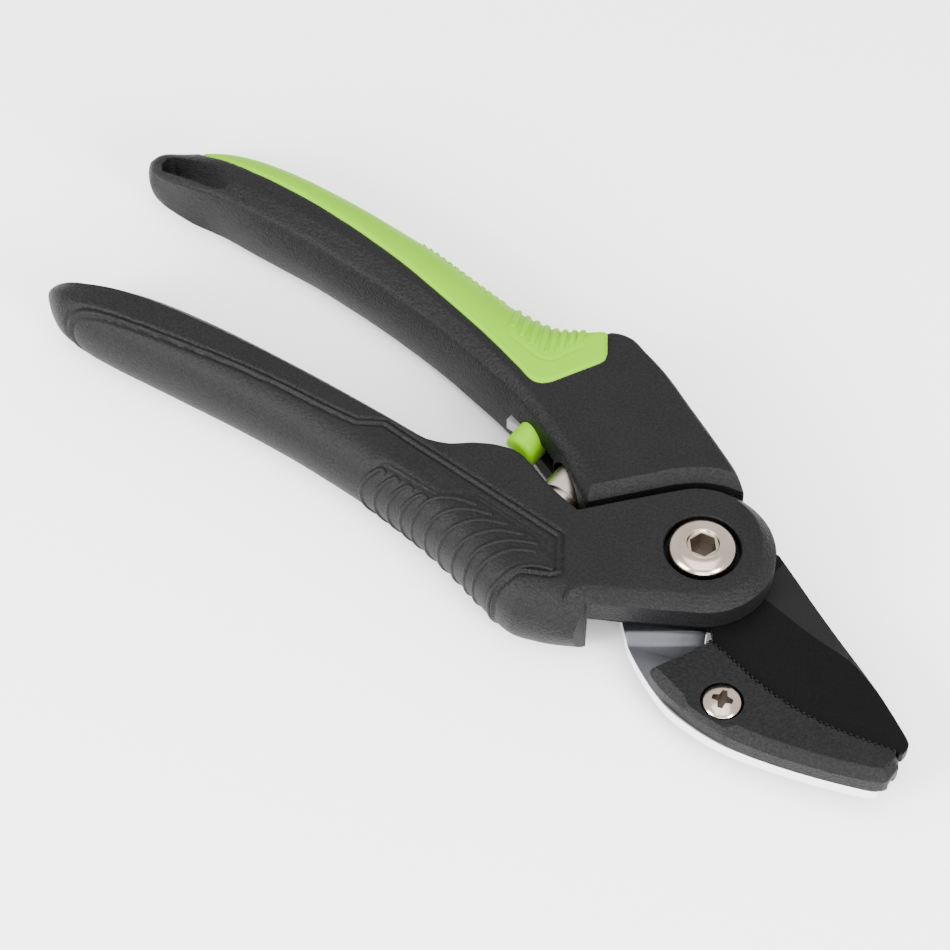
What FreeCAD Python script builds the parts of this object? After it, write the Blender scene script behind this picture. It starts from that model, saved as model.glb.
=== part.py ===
import FreeCAD, Part
import math
import os

V = FreeCAD.Vector

# ---------------------------------------------------------------------------
# Driving dimensions, millimetres. The origin is the point where the pivot axis
# meets the surface the shears lie on. +X runs to the jaw tip, +Z is the bolt
# head's side, the anvil lever's handle lies on the +Y side.
# ---------------------------------------------------------------------------
HANDLE_THICK = 20.0          # both handles, full thickness
MID_Z = HANDLE_THICK / 2.0   # parting plane of both handles
FULL_HALF = MID_Z - 0.25     # half thickness of the handles' main stretch, just under the boss's top
CUT_OVERSHOOT = 1.0          # how far a cutter runs past the faces it cuts
CUT_REACH = 120.0            # size of the half planes that split a piece
FAR_SIDE_Y = 50.0            # safely outside both handles
BODY_EXPONENT = 2.9          # roundness of a handle section (2 is an ellipse)
BLOCK_EXPONENT = 7.0         # nearly square section of the block by the pivot

BOLT_DIA = 8.0
BOLT_HEAD_DIA = 13.8
BOLT_HEAD_HEIGHT = 4.4
BOLT_SEAT_Z = 17.0
BOLT_HEAD_RIM = 2.2           # height of the head's straight rim
HEAD_FLAT_SHARE = 0.48        # flat top of a domed head, as a share of its radius
DOME_MIDDLE_SHARE = 0.82
DOME_RISE_SHARE = 0.66
BOLT_HEX = 5.0
BOLT_HEX_DEPTH = 3.0
BOLT_END_CHAMFER = 0.5
HEAD_RECESS_DIA = 15.6

BOSS_RADIUS = 15.1
BOSS_CENTRE = (-0.4, 0.5)
BOSS_BOTTOM_Z = 12.5
BOSS_FLAT_OFFSET = 15.9      # distance of the boss's straight flank from the pivot
BOSS_FLANK_ANGLE = 51.66     # direction of that flank, degrees from +X
BOSS_FLANK_LENGTH = 22.6
BOSS_LOW_TURN = -57.0        # where the rim meets its lower flank, degrees
BOSS_RIM_TURN = -70.0        # a place on the bevelled rim, degrees
BOSS_FLANK_SPOT = (-3.6, -19.3)   # a place on the bevelled lower flank
BOSS_REAR = [(-12.0, -24.8), (-30.0, -27.0), (-30.0, -10.0)]   # inside the handle
BLOCK_GAP = 1.7              # between that flank and the block's end face
BLOCK_ARC_RADIUS = 17.4
CAVITY_RADIUS = 26.0         # open space round the pivot, under the boss
EDGE_SNAP = 0.01             # how close an edge lies to the height it is looked up by
EDGE_NEAR = 1.0              # and to the plan point it is looked up by

BOSS_CHAMFER_WIDE = 3.3
BOSS_CHAMFER_HIGH = 2.1

BLADE_BOTTOM_Z = 9.5
BLADE_THICK = 3.0
ARM_THICK = 3.2
ARM_ROOT_Z = 6.0             # underside of the arm at the pivot
ARM_JOGGLE = 1.2             # the jaw part lies this much lower
BEND_OVERLAP = 1.5

PAD_TOP_Z = 13.5
PAD_BOTTOM_Z = 4.0           # foot of the anvil wall
PAD_WALL = 2.4
PAD_CHAMFER_WIDE = 2.2
PAD_CHAMFER_HIGH = 2.0
FACE_CLEARANCE = 0.3         # between the anvil face and the blade's edge

SCREW_AT = (21.7, -23.5)
SCREW_DIA = 4.0
SCREW_HEAD_DIA = 8.1
SCREW_HEAD_HEIGHT = 2.6
SCREW_SEAT_Z = 11.3
SCREW_RECESS_DIA = 8.6
SCREW_HEAD_RIM = 0.6
SCREW_CROSS_LONG = 4.2
SCREW_CROSS_WIDE = 1.1
SCREW_CROSS_DEPTH = 1.3

BUSH_DIA = 11.0
BUSH_FLANGE_DIA = 15.0
BUSH_FLANGE_THICK = 0.8
RUNNING_CLEARANCE = 0.04     # radial, bolt in bush
FACE_GAP = 0.02              # axial, between turning faces

NUT_FLATS = 13.0
NUT_HEIGHT = 4.0
NUT_BOTTOM_Z = 0.6
WASHER_DIA = 16.0
BLADE_WASHER_DIA = 18.0

SPRING_X = -33.2
SPRING_DIA = 11.0
SPRING_TOP_Y = 7.5
SPRING_LOW_Y = -10.8
SPRING_HOLE_DIA = 5.8
SPRING_SEAT_DIA = 11.6
STUD_DIA = 5.0
STUD_LENGTH = 3.6
STUD_FOOT_DIA = 7.0           # the upper stud stands on a low round foot
STUD_FOOT_HIGH = 1.0
UPPER_SEAT_FROM_Y = -12.0     # the spring's seats are cut from here and up to here
LOWER_SEAT_TO_Y = 4.0

LOCK_TRAVEL = 4.5
BUTTON_X = -47.6
BUTTON_WIDE = 7.0
BUTTON_TALL = 9.4
BUTTON_FACE_Y = 1.2
BUTTON_BACK_Y = 6.6
BUTTON_EDGE = 1.2
SLIDE_THICK = 3.0
SLIDE_FROM_X = -54.4
SLIDE_TO_X = -44.4
SLIDE_FRONT_Y = 6.6
SLIDE_BACK_Y = 9.2
CHANNEL_FIT = 0.3
MOUTH_ROOM = 3.2              # open length behind the hook's leg
RIVET_DIA = 1.6
RIVET_X = BUTTON_X + 1.0
RIVET_LOW_Y = BUTTON_BACK_Y - 2.0
DETENT_GAP = 1.0              # between the slide and its flat spring
DETENT_THICK = 0.4
DETENT_BUMP_X = -47.0
DETENT_BUMP_RADIUS = 0.8
LEG_NOTCH_X = -53.0           # the button is notched from here to clear the hook's leg
HOOK_LEG_X = -50.6
HOOK_LEG_WIDE = 1.8
HOOK_END_Y = -11.2
HOOK_NOSE = 0.5
HOOK_NOSE_DEEP = 1.6
CATCH_AT = (-53.4, -11.0)
CATCH_DIA = 3.0
CATCH_LENGTH = 10.0
RECESS_TALL = 5.0
RECESS_LOW_Y = -13.4
RECESS_HIGH_Y = 2.0
RECESS_FROM_X = -56.4
RECESS_TO_X = -42.6

# Square tail end of the hanging slot, its upper side, round front end and lower side.
HANG_SLOT_TAIL = [(-156.6, 12.4), (-157.4, 13.2), (-157.4, 15.0), (-156.4, 16.0)]
HANG_SLOT_BOW = [
    (-156.4, 16.0), (-153.9, 17.0), (-150.6, 17.9), (-147.0, 18.5), (-143.6, 18.6), (-141.2, 17.8), (-140.2, 16.2),
    (-140.9, 14.6), (-143.6, 13.9), (-148.6, 13.2), (-153.6, 12.6), (-156.6, 12.4),
]

# Handle stations: x, inner side y, outer side y, half thickness, roundness.
UPPER_STATIONS = [
    (-162.3, 11.8, 15.4, 2.8, 2.2),
    (-160.8, 10.6, 17.8, 5.0, 2.5),
    (-155.5, 10.5, 21.8, 6.5, BODY_EXPONENT),
    (-147.0, 11.6, 27.2, 8.1, BODY_EXPONENT),
    (-138.0, 12.5, 29.9, 9.2, BODY_EXPONENT),
    (-125.0, 13.1, 31.6, 9.7, BODY_EXPONENT),
    (-110.0, 13.4, 32.4, FULL_HALF, BODY_EXPONENT),
    (-95.0, 13.1, 32.4, FULL_HALF, BODY_EXPONENT),
    (-80.0, 12.3, 31.5, FULL_HALF, 3.2),
    (-67.0, 10.8, 30.3, FULL_HALF, 3.8),
    (-58.0, 9.1, 30.9, FULL_HALF, 4.6),
    (-50.0, 6.9, 33.6, FULL_HALF, 5.8),
    (-43.0, 4.4, 35.3, FULL_HALF, BLOCK_EXPONENT),
    (-33.0, -0.2, 32.9, FULL_HALF, BLOCK_EXPONENT),
    (-20.0, -5.0, 27.2, FULL_HALF, BLOCK_EXPONENT),
    (-7.0, -8.0, 21.4, FULL_HALF, BLOCK_EXPONENT),
    (-1.8, -9.0, 17.6, FULL_HALF, BLOCK_EXPONENT),
]
LOWER_STATIONS = [
    (-155.4, -28.7, -25.9, 2.4, 2.2),
    (-153.6, -30.2, -24.6, 4.6, 2.5),
    (-149.0, -31.6, -22.1, 6.8, BODY_EXPONENT),
    (-142.0, -32.2, -18.8, 8.4, BODY_EXPONENT),
    (-131.0, -31.4, -15.5, 9.4, BODY_EXPONENT),
    (-118.0, -29.7, -13.1, 9.7, BODY_EXPONENT),
    (-104.0, -28.2, -11.6, FULL_HALF, BODY_EXPONENT),
    (-88.0, -26.9, -10.6, FULL_HALF, BODY_EXPONENT),
    (-72.0, -26.4, -10.2, FULL_HALF, BODY_EXPONENT),
    (-60.0, -26.8, -10.4, FULL_HALF, 3.4),
    (-52.0, -27.6, -5.2, FULL_HALF, 4.0),
    (-45.0, -28.6, -2.4, FULL_HALF, 4.6),
    (-38.0, -30.0, -3.7, FULL_HALF, 5.2),
    (-30.0, -32.0, -6.2, FULL_HALF, 6.0),
    (-23.0, -32.4, -7.0, FULL_HALF, 6.0),
    (-16.0, -30.2, -7.4, FULL_HALF, 6.0),
    (-11.0, -27.8, -7.8, FULL_HALF, 6.0),
]
SECTION_POINTS = 24

# Plan outlines, from the pivot outwards.
UPPER_GRIP_EDGE = [
    (-153.0, 20.6), (-147.0, 21.4), (-138.0, 22.1), (-125.0, 22.7),
    (-111.0, 22.4), (-97.0, 21.9), (-84.0, 20.4), (-70.0, 17.4), (-55.0, 13.5),
]
UPPER_GRIP_ARROW = [(-51.5, 13.4), (-43.8, 26.6), (-47.0, 31.9), (-50.4, 36.6), (-52.0, 44.0)]
LOWER_GRIP_EDGE = [
    (-143.6, -33.4), (-141.4, -30.2), (-131.0, -27.4), (-118.0, -24.7), (-106.0, -22.3),
    (-94.0, -20.4), (-82.0, -19.1), (-75.0, -18.1),
]
LOWER_GRIP_ARROW = [
    (-70.0, -14.7), (-63.0, -14.9), (-23.6, -15.1), (-19.0, -22.2), (-26.6, -27.3),
    (-28.2, -31.1), (-28.4, -40.0),
]
GRIP_SPINE_INSET = 3.4
GRIP_SPINE_START = 10.0      # the spine starts this far from the grip's tail
GRIP_SPINE_LAP = 2.0         # and reaches this far past the handle's middle
GRIP_SPINE_COVER = 2.8       # grip thickness above and below the core's spine

ARM_OUTER_EDGE = [
    (55.4, -18.9), (53.3, -20.1), (44.5, -23.6), (35.4, -26.6), (25.6, -28.9),
    (17.2, -29.2), (10.5, -28.0), (2.0, -24.2), (-4.2, -20.0), (-11.0, -13.0), (-15.5, -5.0), (-17.0, 2.0),
]
ARM_TANG = [(-21.0, 8.0), (-30.0, 12.6), (-62.0, 17.0), (-62.0, 24.0), (-31.0, 26.0), (-13.0, 19.0), (-2.0, 14.6)]
ARM_HUB_RADIUS = 13.4
ARM_HUB_LOW_TURN = -48.0     # where the hub's rim ends, degrees
ARM_HUB_MID_TURN = 20.0
ARM_BEND_AT = (0.0, -19.4)
ARM_BEND_ANGLE = 38.0
ANVIL_FACE = [
    (12.0, -13.3), (14.5, -13.6), (18.3, -14.3), (24.0, -15.3), (30.0, -15.9),
    (37.0, -15.7), (44.0, -14.6), (49.5, -13.2), (54.2, -12.1),
]
PAD_OUTER_EDGE = [
    (56.0, -18.4), (53.6, -19.9), (47.2, -22.7), (41.0, -24.9), (35.2, -26.7), (29.5, -28.1),
    (24.8, -28.8), (18.1, -28.9), (11.1, -27.9), (7.0, -26.5),
]
PAD_TIP_CORNER = (56.4, -13.6)
PAD_REAR = [(5.8, -25.5), (11.2, -14.0)]
BLADE_SPINE = [
    (55.8, -10.3), (55.6, -9.1), (54.6, -8.0), (50.0, -5.4), (45.0, -2.8), (40.0, -0.4),
    (34.8, 1.9), (28.0, 4.9), (21.9, 7.7), (16.0, 10.5), (10.6, 13.0),
]
BLADE_TANG = [(-7.5, 12.0), (-19.0, -4.0), (-27.5, -14.5), (-56.0, -15.0), (-56.0, -21.5), (-24.0, -25.0),
              (-16.4, -24.9)]
BLADE_HEEL = [(9.6, -9.8), (11.3, -11.6)]


def curve(points):
    """A smooth edge through plan points."""
    spline = Part.BSplineCurve()
    spline.interpolate([V(x, y, 0) for x, y in points])
    return spline.toShape()


def lines(points):
    """Straight edges through plan points."""
    return [Part.makeLine(V(a[0], a[1], 0), V(b[0], b[1], 0)) for a, b in zip(points, points[1:])]


def prism(edges, low, high):
    """A solid between two heights over a closed plan outline."""
    face = Part.Face(Part.Wire(edges))
    face.translate(V(0, 0, low))
    return face.extrude(V(0, 0, high - low))


def polygon(points, low, high):
    """A straight-sided prism over plan corners."""
    return prism(lines(points + points[:1]), low, high)


def rod(dia, low, high, at=(0.0, 0.0)):
    """An upright cylinder."""
    return Part.makeCylinder(dia / 2.0, high - low, V(at[0], at[1], low))


def block(x0, x1, y0, y1, z0, z1):
    """A box between two corners."""
    return Part.makeBox(x1 - x0, y1 - y0, z1 - z0, V(x0, y0, z0))


def across(dia, y0, y1, x, z):
    """A cylinder along +Y."""
    return Part.makeCylinder(dia / 2.0, y1 - y0, V(x, y0, z), V(0, 1, 0))


def round_point(centre, radius, degrees):
    """A plan point on a circle."""
    turn = math.radians(degrees)
    return (centre[0] + radius * math.cos(turn), centre[1] + radius * math.sin(turn))


def chamfer_top(solid, top_z, near, wide, high):
    """Bevels the top edges that pass within a millimetre of the given plan points."""
    picked = []
    for edge in solid.Edges:
        if abs(edge.BoundBox.ZMin - top_z) > EDGE_SNAP:
            continue
        spots = [Part.Vertex(V(x, y, top_z)) for x, y in near]
        if any(edge.distToShape(spot)[0] < EDGE_NEAR for spot in spots):
            picked.append(edge)
    return solid.makeChamfer(wide, high, picked)


def hexagon(flats, low, high):
    """An upright hexagonal prism."""
    corner = flats / math.sqrt(3.0)
    points = [(corner * math.cos(math.radians(60 * i)), corner * math.sin(math.radians(60 * i))) for i in range(6)]
    return polygon(points, low, high)


def section(x, y_a, y_b, half, exponent):
    """One rounded handle section across the X axis."""
    centre = (y_a + y_b) / 2.0
    wide = abs(y_b - y_a) / 2.0
    points = []
    for i in range(SECTION_POINTS):
        turn = 2.0 * math.pi * i / SECTION_POINTS
        c, s = math.cos(turn), math.sin(turn)
        y = centre + wide * math.copysign(abs(c) ** (2.0 / exponent), c)
        z = MID_Z + half * math.copysign(abs(s) ** (2.0 / exponent), s)
        points.append(V(x, y, z))
    spline = Part.BSplineCurve()
    spline.interpolate(points, PeriodicFlag=True)
    return Part.Wire(spline.toShape())


def handle_body(stations):
    """The full outer shape of one handle."""
    return Part.makeLoft([section(*s) for s in stations], True, False)


def inset(points, step):
    """Moves plan points along Y."""
    return [(x, y + step) for x, y in points]


def grip_prism(edge, arrow, far_y):
    """The plan region that a grip covers, over the full height."""
    start = (edge[0][0] - CUT_OVERSHOOT, far_y)
    end = (arrow[-1][0], far_y)
    outline = [curve(edge)] + lines([edge[-1]] + arrow + [end, start, edge[0]])
    return prism(outline, -CUT_OVERSHOOT, HANDLE_THICK + CUT_OVERSHOOT)


def spine_prism(stations, edge, side):
    """The core's spine inside a grip, which the grip wraps round."""
    far = []
    near = []
    for x, y_a, y_b, half, _ in stations:
        outer = y_b if side > 0 else y_a
        if edge[0][0] + GRIP_SPINE_START < x < edge[-1][0]:
            far.append((x, outer - side * GRIP_SPINE_INSET))
            near.append((x, (y_a + y_b) / 2.0 - side * GRIP_SPINE_LAP))
    return polygon(near + far[::-1], MID_Z - HANDLE_THICK / 2 + GRIP_SPINE_COVER, HANDLE_THICK - GRIP_SPINE_COVER)


def boss_outline():
    """Plan outline of the pivot boss with its two straight flanks."""
    turn = math.radians(BOSS_FLANK_ANGLE)
    along = (math.cos(turn), math.sin(turn))
    normal = (-along[1], along[0])
    tangent = (BOSS_CENTRE[0] + normal[0] * BOSS_RADIUS, BOSS_CENTRE[1] + normal[1] * BOSS_RADIUS)
    far = (tangent[0] - along[0] * BOSS_FLANK_LENGTH, tangent[1] - along[1] * BOSS_FLANK_LENGTH)
    low = round_point(BOSS_CENTRE, BOSS_RADIUS, BOSS_LOW_TURN)
    right = round_point(BOSS_CENTRE, BOSS_RADIUS, 0.0)
    arc = Part.Arc(V(tangent[0], tangent[1], 0), V(right[0], right[1], 0), V(low[0], low[1], 0)).toShape()
    return [arc] + lines([low] + BOSS_REAR + [far, tangent])


def lock_recess():
    """The pocket in the lower handle that takes the hook."""
    low = MID_Z - RECESS_TALL / 2.0
    return block(RECESS_FROM_X, RECESS_TO_X, RECESS_LOW_Y, RECESS_HIGH_Y, low, low + RECESS_TALL)


def spring_pocket(y0, y1):
    """A round seat for one end of the spring."""
    return across(SPRING_SEAT_DIA, y0, y1, SPRING_X, MID_Z)


def blade_outline():
    """Plan outline of the blade and its tang."""
    edge = inset(ANVIL_FACE, FACE_CLEARANCE)
    tip = BLADE_SPINE[0]
    outline = [curve(BLADE_SPINE)]
    outline += lines([BLADE_SPINE[-1]] + BLADE_TANG + BLADE_HEEL + [edge[0]])
    outline += [curve(edge)]
    outline += lines([edge[-1], tip])
    return outline


def arm_outline():
    """Plan outline of the anvil arm and its tang."""
    start = ARM_OUTER_EDGE[0]
    inner = [(x, y - PAD_WALL) for x, y in ANVIL_FACE]
    hub_in = round_point((0.0, 0.0), ARM_HUB_RADIUS, ARM_HUB_LOW_TURN)
    hub_mid = round_point((0.0, 0.0), ARM_HUB_RADIUS, ARM_HUB_MID_TURN)
    last = ARM_TANG[-1]
    arc = Part.Arc(V(last[0], last[1], 0), V(hub_mid[0], hub_mid[1], 0), V(hub_in[0], hub_in[1], 0)).toShape()
    outline = [curve(ARM_OUTER_EDGE)]
    outline += lines([ARM_OUTER_EDGE[-1]] + ARM_TANG)
    outline += [arc]
    outline += lines([hub_in, inner[0]])
    outline += [curve(inner)]
    outline += lines([inner[-1], start])
    return outline


def upper_shell():
    """The upper handle's full shape, open round the boss."""
    body = handle_body(UPPER_STATIONS)
    turn = math.radians(BOSS_FLANK_ANGLE)
    along = V(math.cos(turn), math.sin(turn), 0)
    normal = V(-along.y, along.x, 0)
    corner = normal * (BOSS_FLAT_OFFSET + BLOCK_GAP)
    tail = corner - along * CUT_REACH
    corners = [corner, tail, tail - normal * CUT_REACH, corner - normal * CUT_REACH]
    body = body.cut(polygon([(c.x, c.y) for c in corners], -CUT_OVERSHOOT, HANDLE_THICK + CUT_OVERSHOOT))
    return body.cut(rod(2.0 * BLOCK_ARC_RADIUS, -CUT_OVERSHOOT, HANDLE_THICK + CUT_OVERSHOOT))


def hang_slot():
    """The through slot at the tail."""
    return prism([curve(HANG_SLOT_BOW)] + lines(HANG_SLOT_TAIL), -CUT_OVERSHOOT, HANDLE_THICK + CUT_OVERSHOOT)


def lock_channel():
    """The slot and channel that the lock runs in."""
    low = MID_Z - SLIDE_THICK / 2.0 - CHANNEL_FIT
    high = MID_Z + SLIDE_THICK / 2.0 + CHANNEL_FIT
    ends = (SLIDE_FROM_X - CHANNEL_FIT, SLIDE_TO_X + LOCK_TRAVEL + CHANNEL_FIT)
    channel = block(ends[0], ends[1], 0.0, SLIDE_BACK_Y + DETENT_GAP + DETENT_THICK, low, high)
    mouth_low = MID_Z - RECESS_TALL / 2.0
    mouth = block(HOOK_LEG_X - MOUTH_ROOM, ends[1], 0.0, SLIDE_FRONT_Y + CHANNEL_FIT,
                  mouth_low, mouth_low + RECESS_TALL)
    half = BUTTON_TALL / 2.0 + CHANNEL_FIT
    from_x = BUTTON_X - BUTTON_WIDE / 2.0 - CHANNEL_FIT
    to_x = BUTTON_X + BUTTON_WIDE / 2.0 + LOCK_TRAVEL + CHANNEL_FIT
    sink = block(from_x, to_x, 0.0, BUTTON_BACK_Y + CHANNEL_FIT, MID_Z - half, MID_Z + half)
    return channel.fuse(mouth).fuse(sink)


def arm_solid():
    """The joggled anvil arm."""
    turn = math.radians(ARM_BEND_ANGLE)
    along = V(math.cos(turn), math.sin(turn), 0)
    away = V(along.y, -along.x, 0)
    at = V(ARM_BEND_AT[0], ARM_BEND_AT[1], 0)
    near_edge = at - away * BEND_OVERLAP
    jaw_side = [near_edge - along * CUT_REACH, near_edge + along * CUT_REACH,
                near_edge + along * CUT_REACH + away * CUT_REACH, near_edge - along * CUT_REACH + away * CUT_REACH]
    root_side = [at - along * CUT_REACH, at + along * CUT_REACH,
                 at + along * CUT_REACH - away * CUT_REACH, at - along * CUT_REACH - away * CUT_REACH]
    root = prism(arm_outline(), ARM_ROOT_Z, ARM_ROOT_Z + ARM_THICK)
    root = root.common(polygon([(c.x, c.y) for c in root_side], 0.0, HANDLE_THICK))
    low = ARM_ROOT_Z - ARM_JOGGLE
    jaw = prism(arm_outline(), low, low + ARM_THICK)
    jaw = jaw.common(polygon([(c.x, c.y) for c in jaw_side], 0.0, HANDLE_THICK))
    return root.fuse(jaw).removeSplitter()


def make_upper_handle_core():
    core = upper_shell()
    core = core.cut(grip_prism(UPPER_GRIP_EDGE, UPPER_GRIP_ARROW, FAR_SIDE_Y))
    core = core.fuse(spine_prism(UPPER_STATIONS, UPPER_GRIP_EDGE, 1))
    core = core.cut(hang_slot())
    core = core.cut(lock_channel())
    core = core.cut(spring_pocket(UPPER_SEAT_FROM_Y, SPRING_TOP_Y))
    core = core.fuse(across(STUD_FOOT_DIA, SPRING_TOP_Y, SPRING_TOP_Y + STUD_FOOT_HIGH, SPRING_X, MID_Z))
    return core.cut(prism(arm_outline(), ARM_ROOT_Z, ARM_ROOT_Z + ARM_THICK))


def make_upper_grip():
    grip = upper_shell().common(grip_prism(UPPER_GRIP_EDGE, UPPER_GRIP_ARROW, FAR_SIDE_Y))
    grip = grip.cut(spine_prism(UPPER_STATIONS, UPPER_GRIP_EDGE, 1))
    grip = grip.cut(prism(arm_outline(), ARM_ROOT_Z, ARM_ROOT_Z + ARM_THICK))
    return grip.cut(hang_slot())


def make_anvil_arm():
    arm = arm_solid()
    arm = arm.cut(rod(BOLT_DIA, 0.0, HANDLE_THICK))
    return arm.cut(rod(SCREW_DIA, 0.0, HANDLE_THICK, SCREW_AT))


def make_anvil_pad():
    plate_top = ARM_ROOT_Z - ARM_JOGGLE + ARM_THICK
    rear = PAD_REAR
    outline = [curve(PAD_OUTER_EDGE)]
    outline += lines([PAD_OUTER_EDGE[-1]] + rear + [ANVIL_FACE[0]])
    outline += [curve(ANVIL_FACE)]
    outline += lines([ANVIL_FACE[-1], PAD_TIP_CORNER, PAD_OUTER_EDGE[0]])
    slab = prism(outline, plate_top, PAD_TOP_Z)
    back = [(x, y - PAD_WALL) for x, y in ANVIL_FACE]
    wall_edges = [curve(ANVIL_FACE)] + lines([ANVIL_FACE[-1], back[-1]])
    wall_edges += [curve(back)] + lines([back[0], ANVIL_FACE[0]])
    wall = prism(wall_edges, PAD_BOTTOM_Z, plate_top)
    slab = chamfer_top(slab, PAD_TOP_Z, (PAD_OUTER_EDGE[4],),
                       PAD_CHAMFER_WIDE, PAD_CHAMFER_HIGH)
    pad = slab.fuse(wall).removeSplitter()
    pad = pad.cut(rod(SCREW_RECESS_DIA, SCREW_SEAT_Z, HANDLE_THICK, SCREW_AT))
    return pad.cut(rod(SCREW_DIA, 0.0, HANDLE_THICK, SCREW_AT))


def domed_head(dia, height, rim, seat_z, at):
    """A low domed screw head, turned from its profile."""
    radius = dia / 2.0
    flat = radius * HEAD_FLAT_SHARE
    start = V(0, 0, seat_z)
    a = V(radius, 0, seat_z)
    b = V(radius, 0, seat_z + rim)
    top = V(flat, 0, seat_z + height)
    middle = V(radius * DOME_MIDDLE_SHARE, 0, seat_z + rim + (height - rim) * DOME_RISE_SHARE)
    end = V(0, 0, seat_z + height)
    edges = [Part.makeLine(start, a), Part.makeLine(a, b), Part.Arc(b, middle, top).toShape(),
             Part.makeLine(top, end), Part.makeLine(end, start)]
    head = Part.Face(Part.Wire(edges)).revolve(V(0, 0, 0), V(0, 0, 1), 360.0)
    head.translate(V(at[0], at[1], 0))
    return head


def make_anvil_screw():
    low = ARM_ROOT_Z - ARM_JOGGLE
    screw = domed_head(SCREW_HEAD_DIA, SCREW_HEAD_HEIGHT, SCREW_HEAD_RIM, SCREW_SEAT_Z, SCREW_AT)
    screw = screw.fuse(rod(SCREW_DIA, low, SCREW_SEAT_Z + SCREW_HEAD_RIM, SCREW_AT))
    top = SCREW_SEAT_Z + SCREW_HEAD_HEIGHT
    for long, wide in ((SCREW_CROSS_LONG, SCREW_CROSS_WIDE), (SCREW_CROSS_WIDE, SCREW_CROSS_LONG)):
        screw = screw.cut(block(SCREW_AT[0] - long / 2.0, SCREW_AT[0] + long / 2.0, SCREW_AT[1] - wide / 2.0,
                                SCREW_AT[1] + wide / 2.0, top - SCREW_CROSS_DEPTH, top + CUT_OVERSHOOT))
    return screw


def make_pivot_bolt():
    bolt = domed_head(BOLT_HEAD_DIA, BOLT_HEAD_HEIGHT, BOLT_HEAD_RIM, BOLT_SEAT_Z, (0.0, 0.0))
    shank = rod(BOLT_DIA, BOLT_END_CHAMFER, BOLT_SEAT_Z + BOLT_HEAD_RIM)
    tip = Part.makeCone(BOLT_DIA / 2 - BOLT_END_CHAMFER, BOLT_DIA / 2, BOLT_END_CHAMFER, V(0, 0, 0))
    bolt = bolt.fuse(shank).fuse(tip).removeSplitter()
    high = BOLT_SEAT_Z + BOLT_HEAD_HEIGHT
    return bolt.cut(hexagon(BOLT_HEX, high - BOLT_HEX_DEPTH, high + CUT_OVERSHOOT))


def ring(outer, inner, low, high):
    """A flat ring round the pivot axis."""
    return rod(outer, low, high).cut(rod(inner, low, high))


def make_blade_washer():
    low = ARM_ROOT_Z + ARM_THICK
    return ring(BLADE_WASHER_DIA, BOLT_DIA, low, BLADE_BOTTOM_Z - FACE_GAP)


def make_nut_washer():
    return ring(WASHER_DIA, BOLT_DIA, NUT_BOTTOM_Z + NUT_HEIGHT, ARM_ROOT_Z)


def make_pivot_nut():
    high = NUT_BOTTOM_Z + NUT_HEIGHT
    return hexagon(NUT_FLATS, NUT_BOTTOM_Z, high).cut(rod(BOLT_DIA, 0.0, high + CUT_OVERSHOOT))


def make_return_spring():
    outer = across(SPRING_DIA, SPRING_LOW_Y, SPRING_TOP_Y, SPRING_X, MID_Z)
    hole = across(SPRING_HOLE_DIA, SPRING_LOW_Y, SPRING_TOP_Y, SPRING_X, MID_Z)
    return outer.cut(hole)


def make_upper_spring_stud():
    return across(STUD_DIA, SPRING_TOP_Y - STUD_LENGTH, SPRING_TOP_Y, SPRING_X, MID_Z)


def make_lower_spring_stud():
    return across(STUD_DIA, SPRING_LOW_Y, SPRING_LOW_Y + STUD_LENGTH, SPRING_X, MID_Z)


def make_lock_button():
    half_wide = BUTTON_WIDE / 2.0
    straight = (BUTTON_TALL - BUTTON_WIDE) / 2.0
    button = block(BUTTON_X - half_wide, BUTTON_X + half_wide, BUTTON_FACE_Y, BUTTON_BACK_Y,
                   MID_Z - straight, MID_Z + straight)
    for z in (MID_Z - straight, MID_Z + straight):
        button = button.fuse(across(BUTTON_WIDE, BUTTON_FACE_Y, BUTTON_BACK_Y, BUTTON_X, z))
    button = button.removeSplitter()
    rim = [e for e in button.Edges if abs(e.CenterOfMass.y - BUTTON_FACE_Y) < EDGE_SNAP]
    button = button.makeFillet(BUTTON_EDGE, rim)
    button = button.cut(block(LEG_NOTCH_X, HOOK_LEG_X + HOOK_LEG_WIDE, 0.0, SLIDE_BACK_Y,
                              MID_Z - SLIDE_THICK / 2.0, MID_Z + SLIDE_THICK / 2.0))
    return button.cut(across(RIVET_DIA, RIVET_LOW_Y, BUTTON_BACK_Y, RIVET_X, MID_Z))


def make_lock_slide():
    low = MID_Z - SLIDE_THICK / 2.0
    high = MID_Z + SLIDE_THICK / 2.0
    slide = block(SLIDE_FROM_X, SLIDE_TO_X, SLIDE_FRONT_Y, SLIDE_BACK_Y, low, high)
    leg = block(HOOK_LEG_X, HOOK_LEG_X + HOOK_LEG_WIDE, HOOK_END_Y - HOOK_NOSE_DEEP, SLIDE_FRONT_Y, low, high)
    nose = block(HOOK_LEG_X - HOOK_NOSE, HOOK_LEG_X, HOOK_END_Y - HOOK_NOSE_DEEP, HOOK_END_Y, low, high)
    slide = slide.fuse(leg).fuse(nose).removeSplitter()
    return slide.cut(across(RIVET_DIA, 0.0, SLIDE_BACK_Y, RIVET_X, MID_Z))


def make_lock_rivet():
    return across(RIVET_DIA, RIVET_LOW_Y, SLIDE_BACK_Y, RIVET_X, MID_Z)


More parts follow.
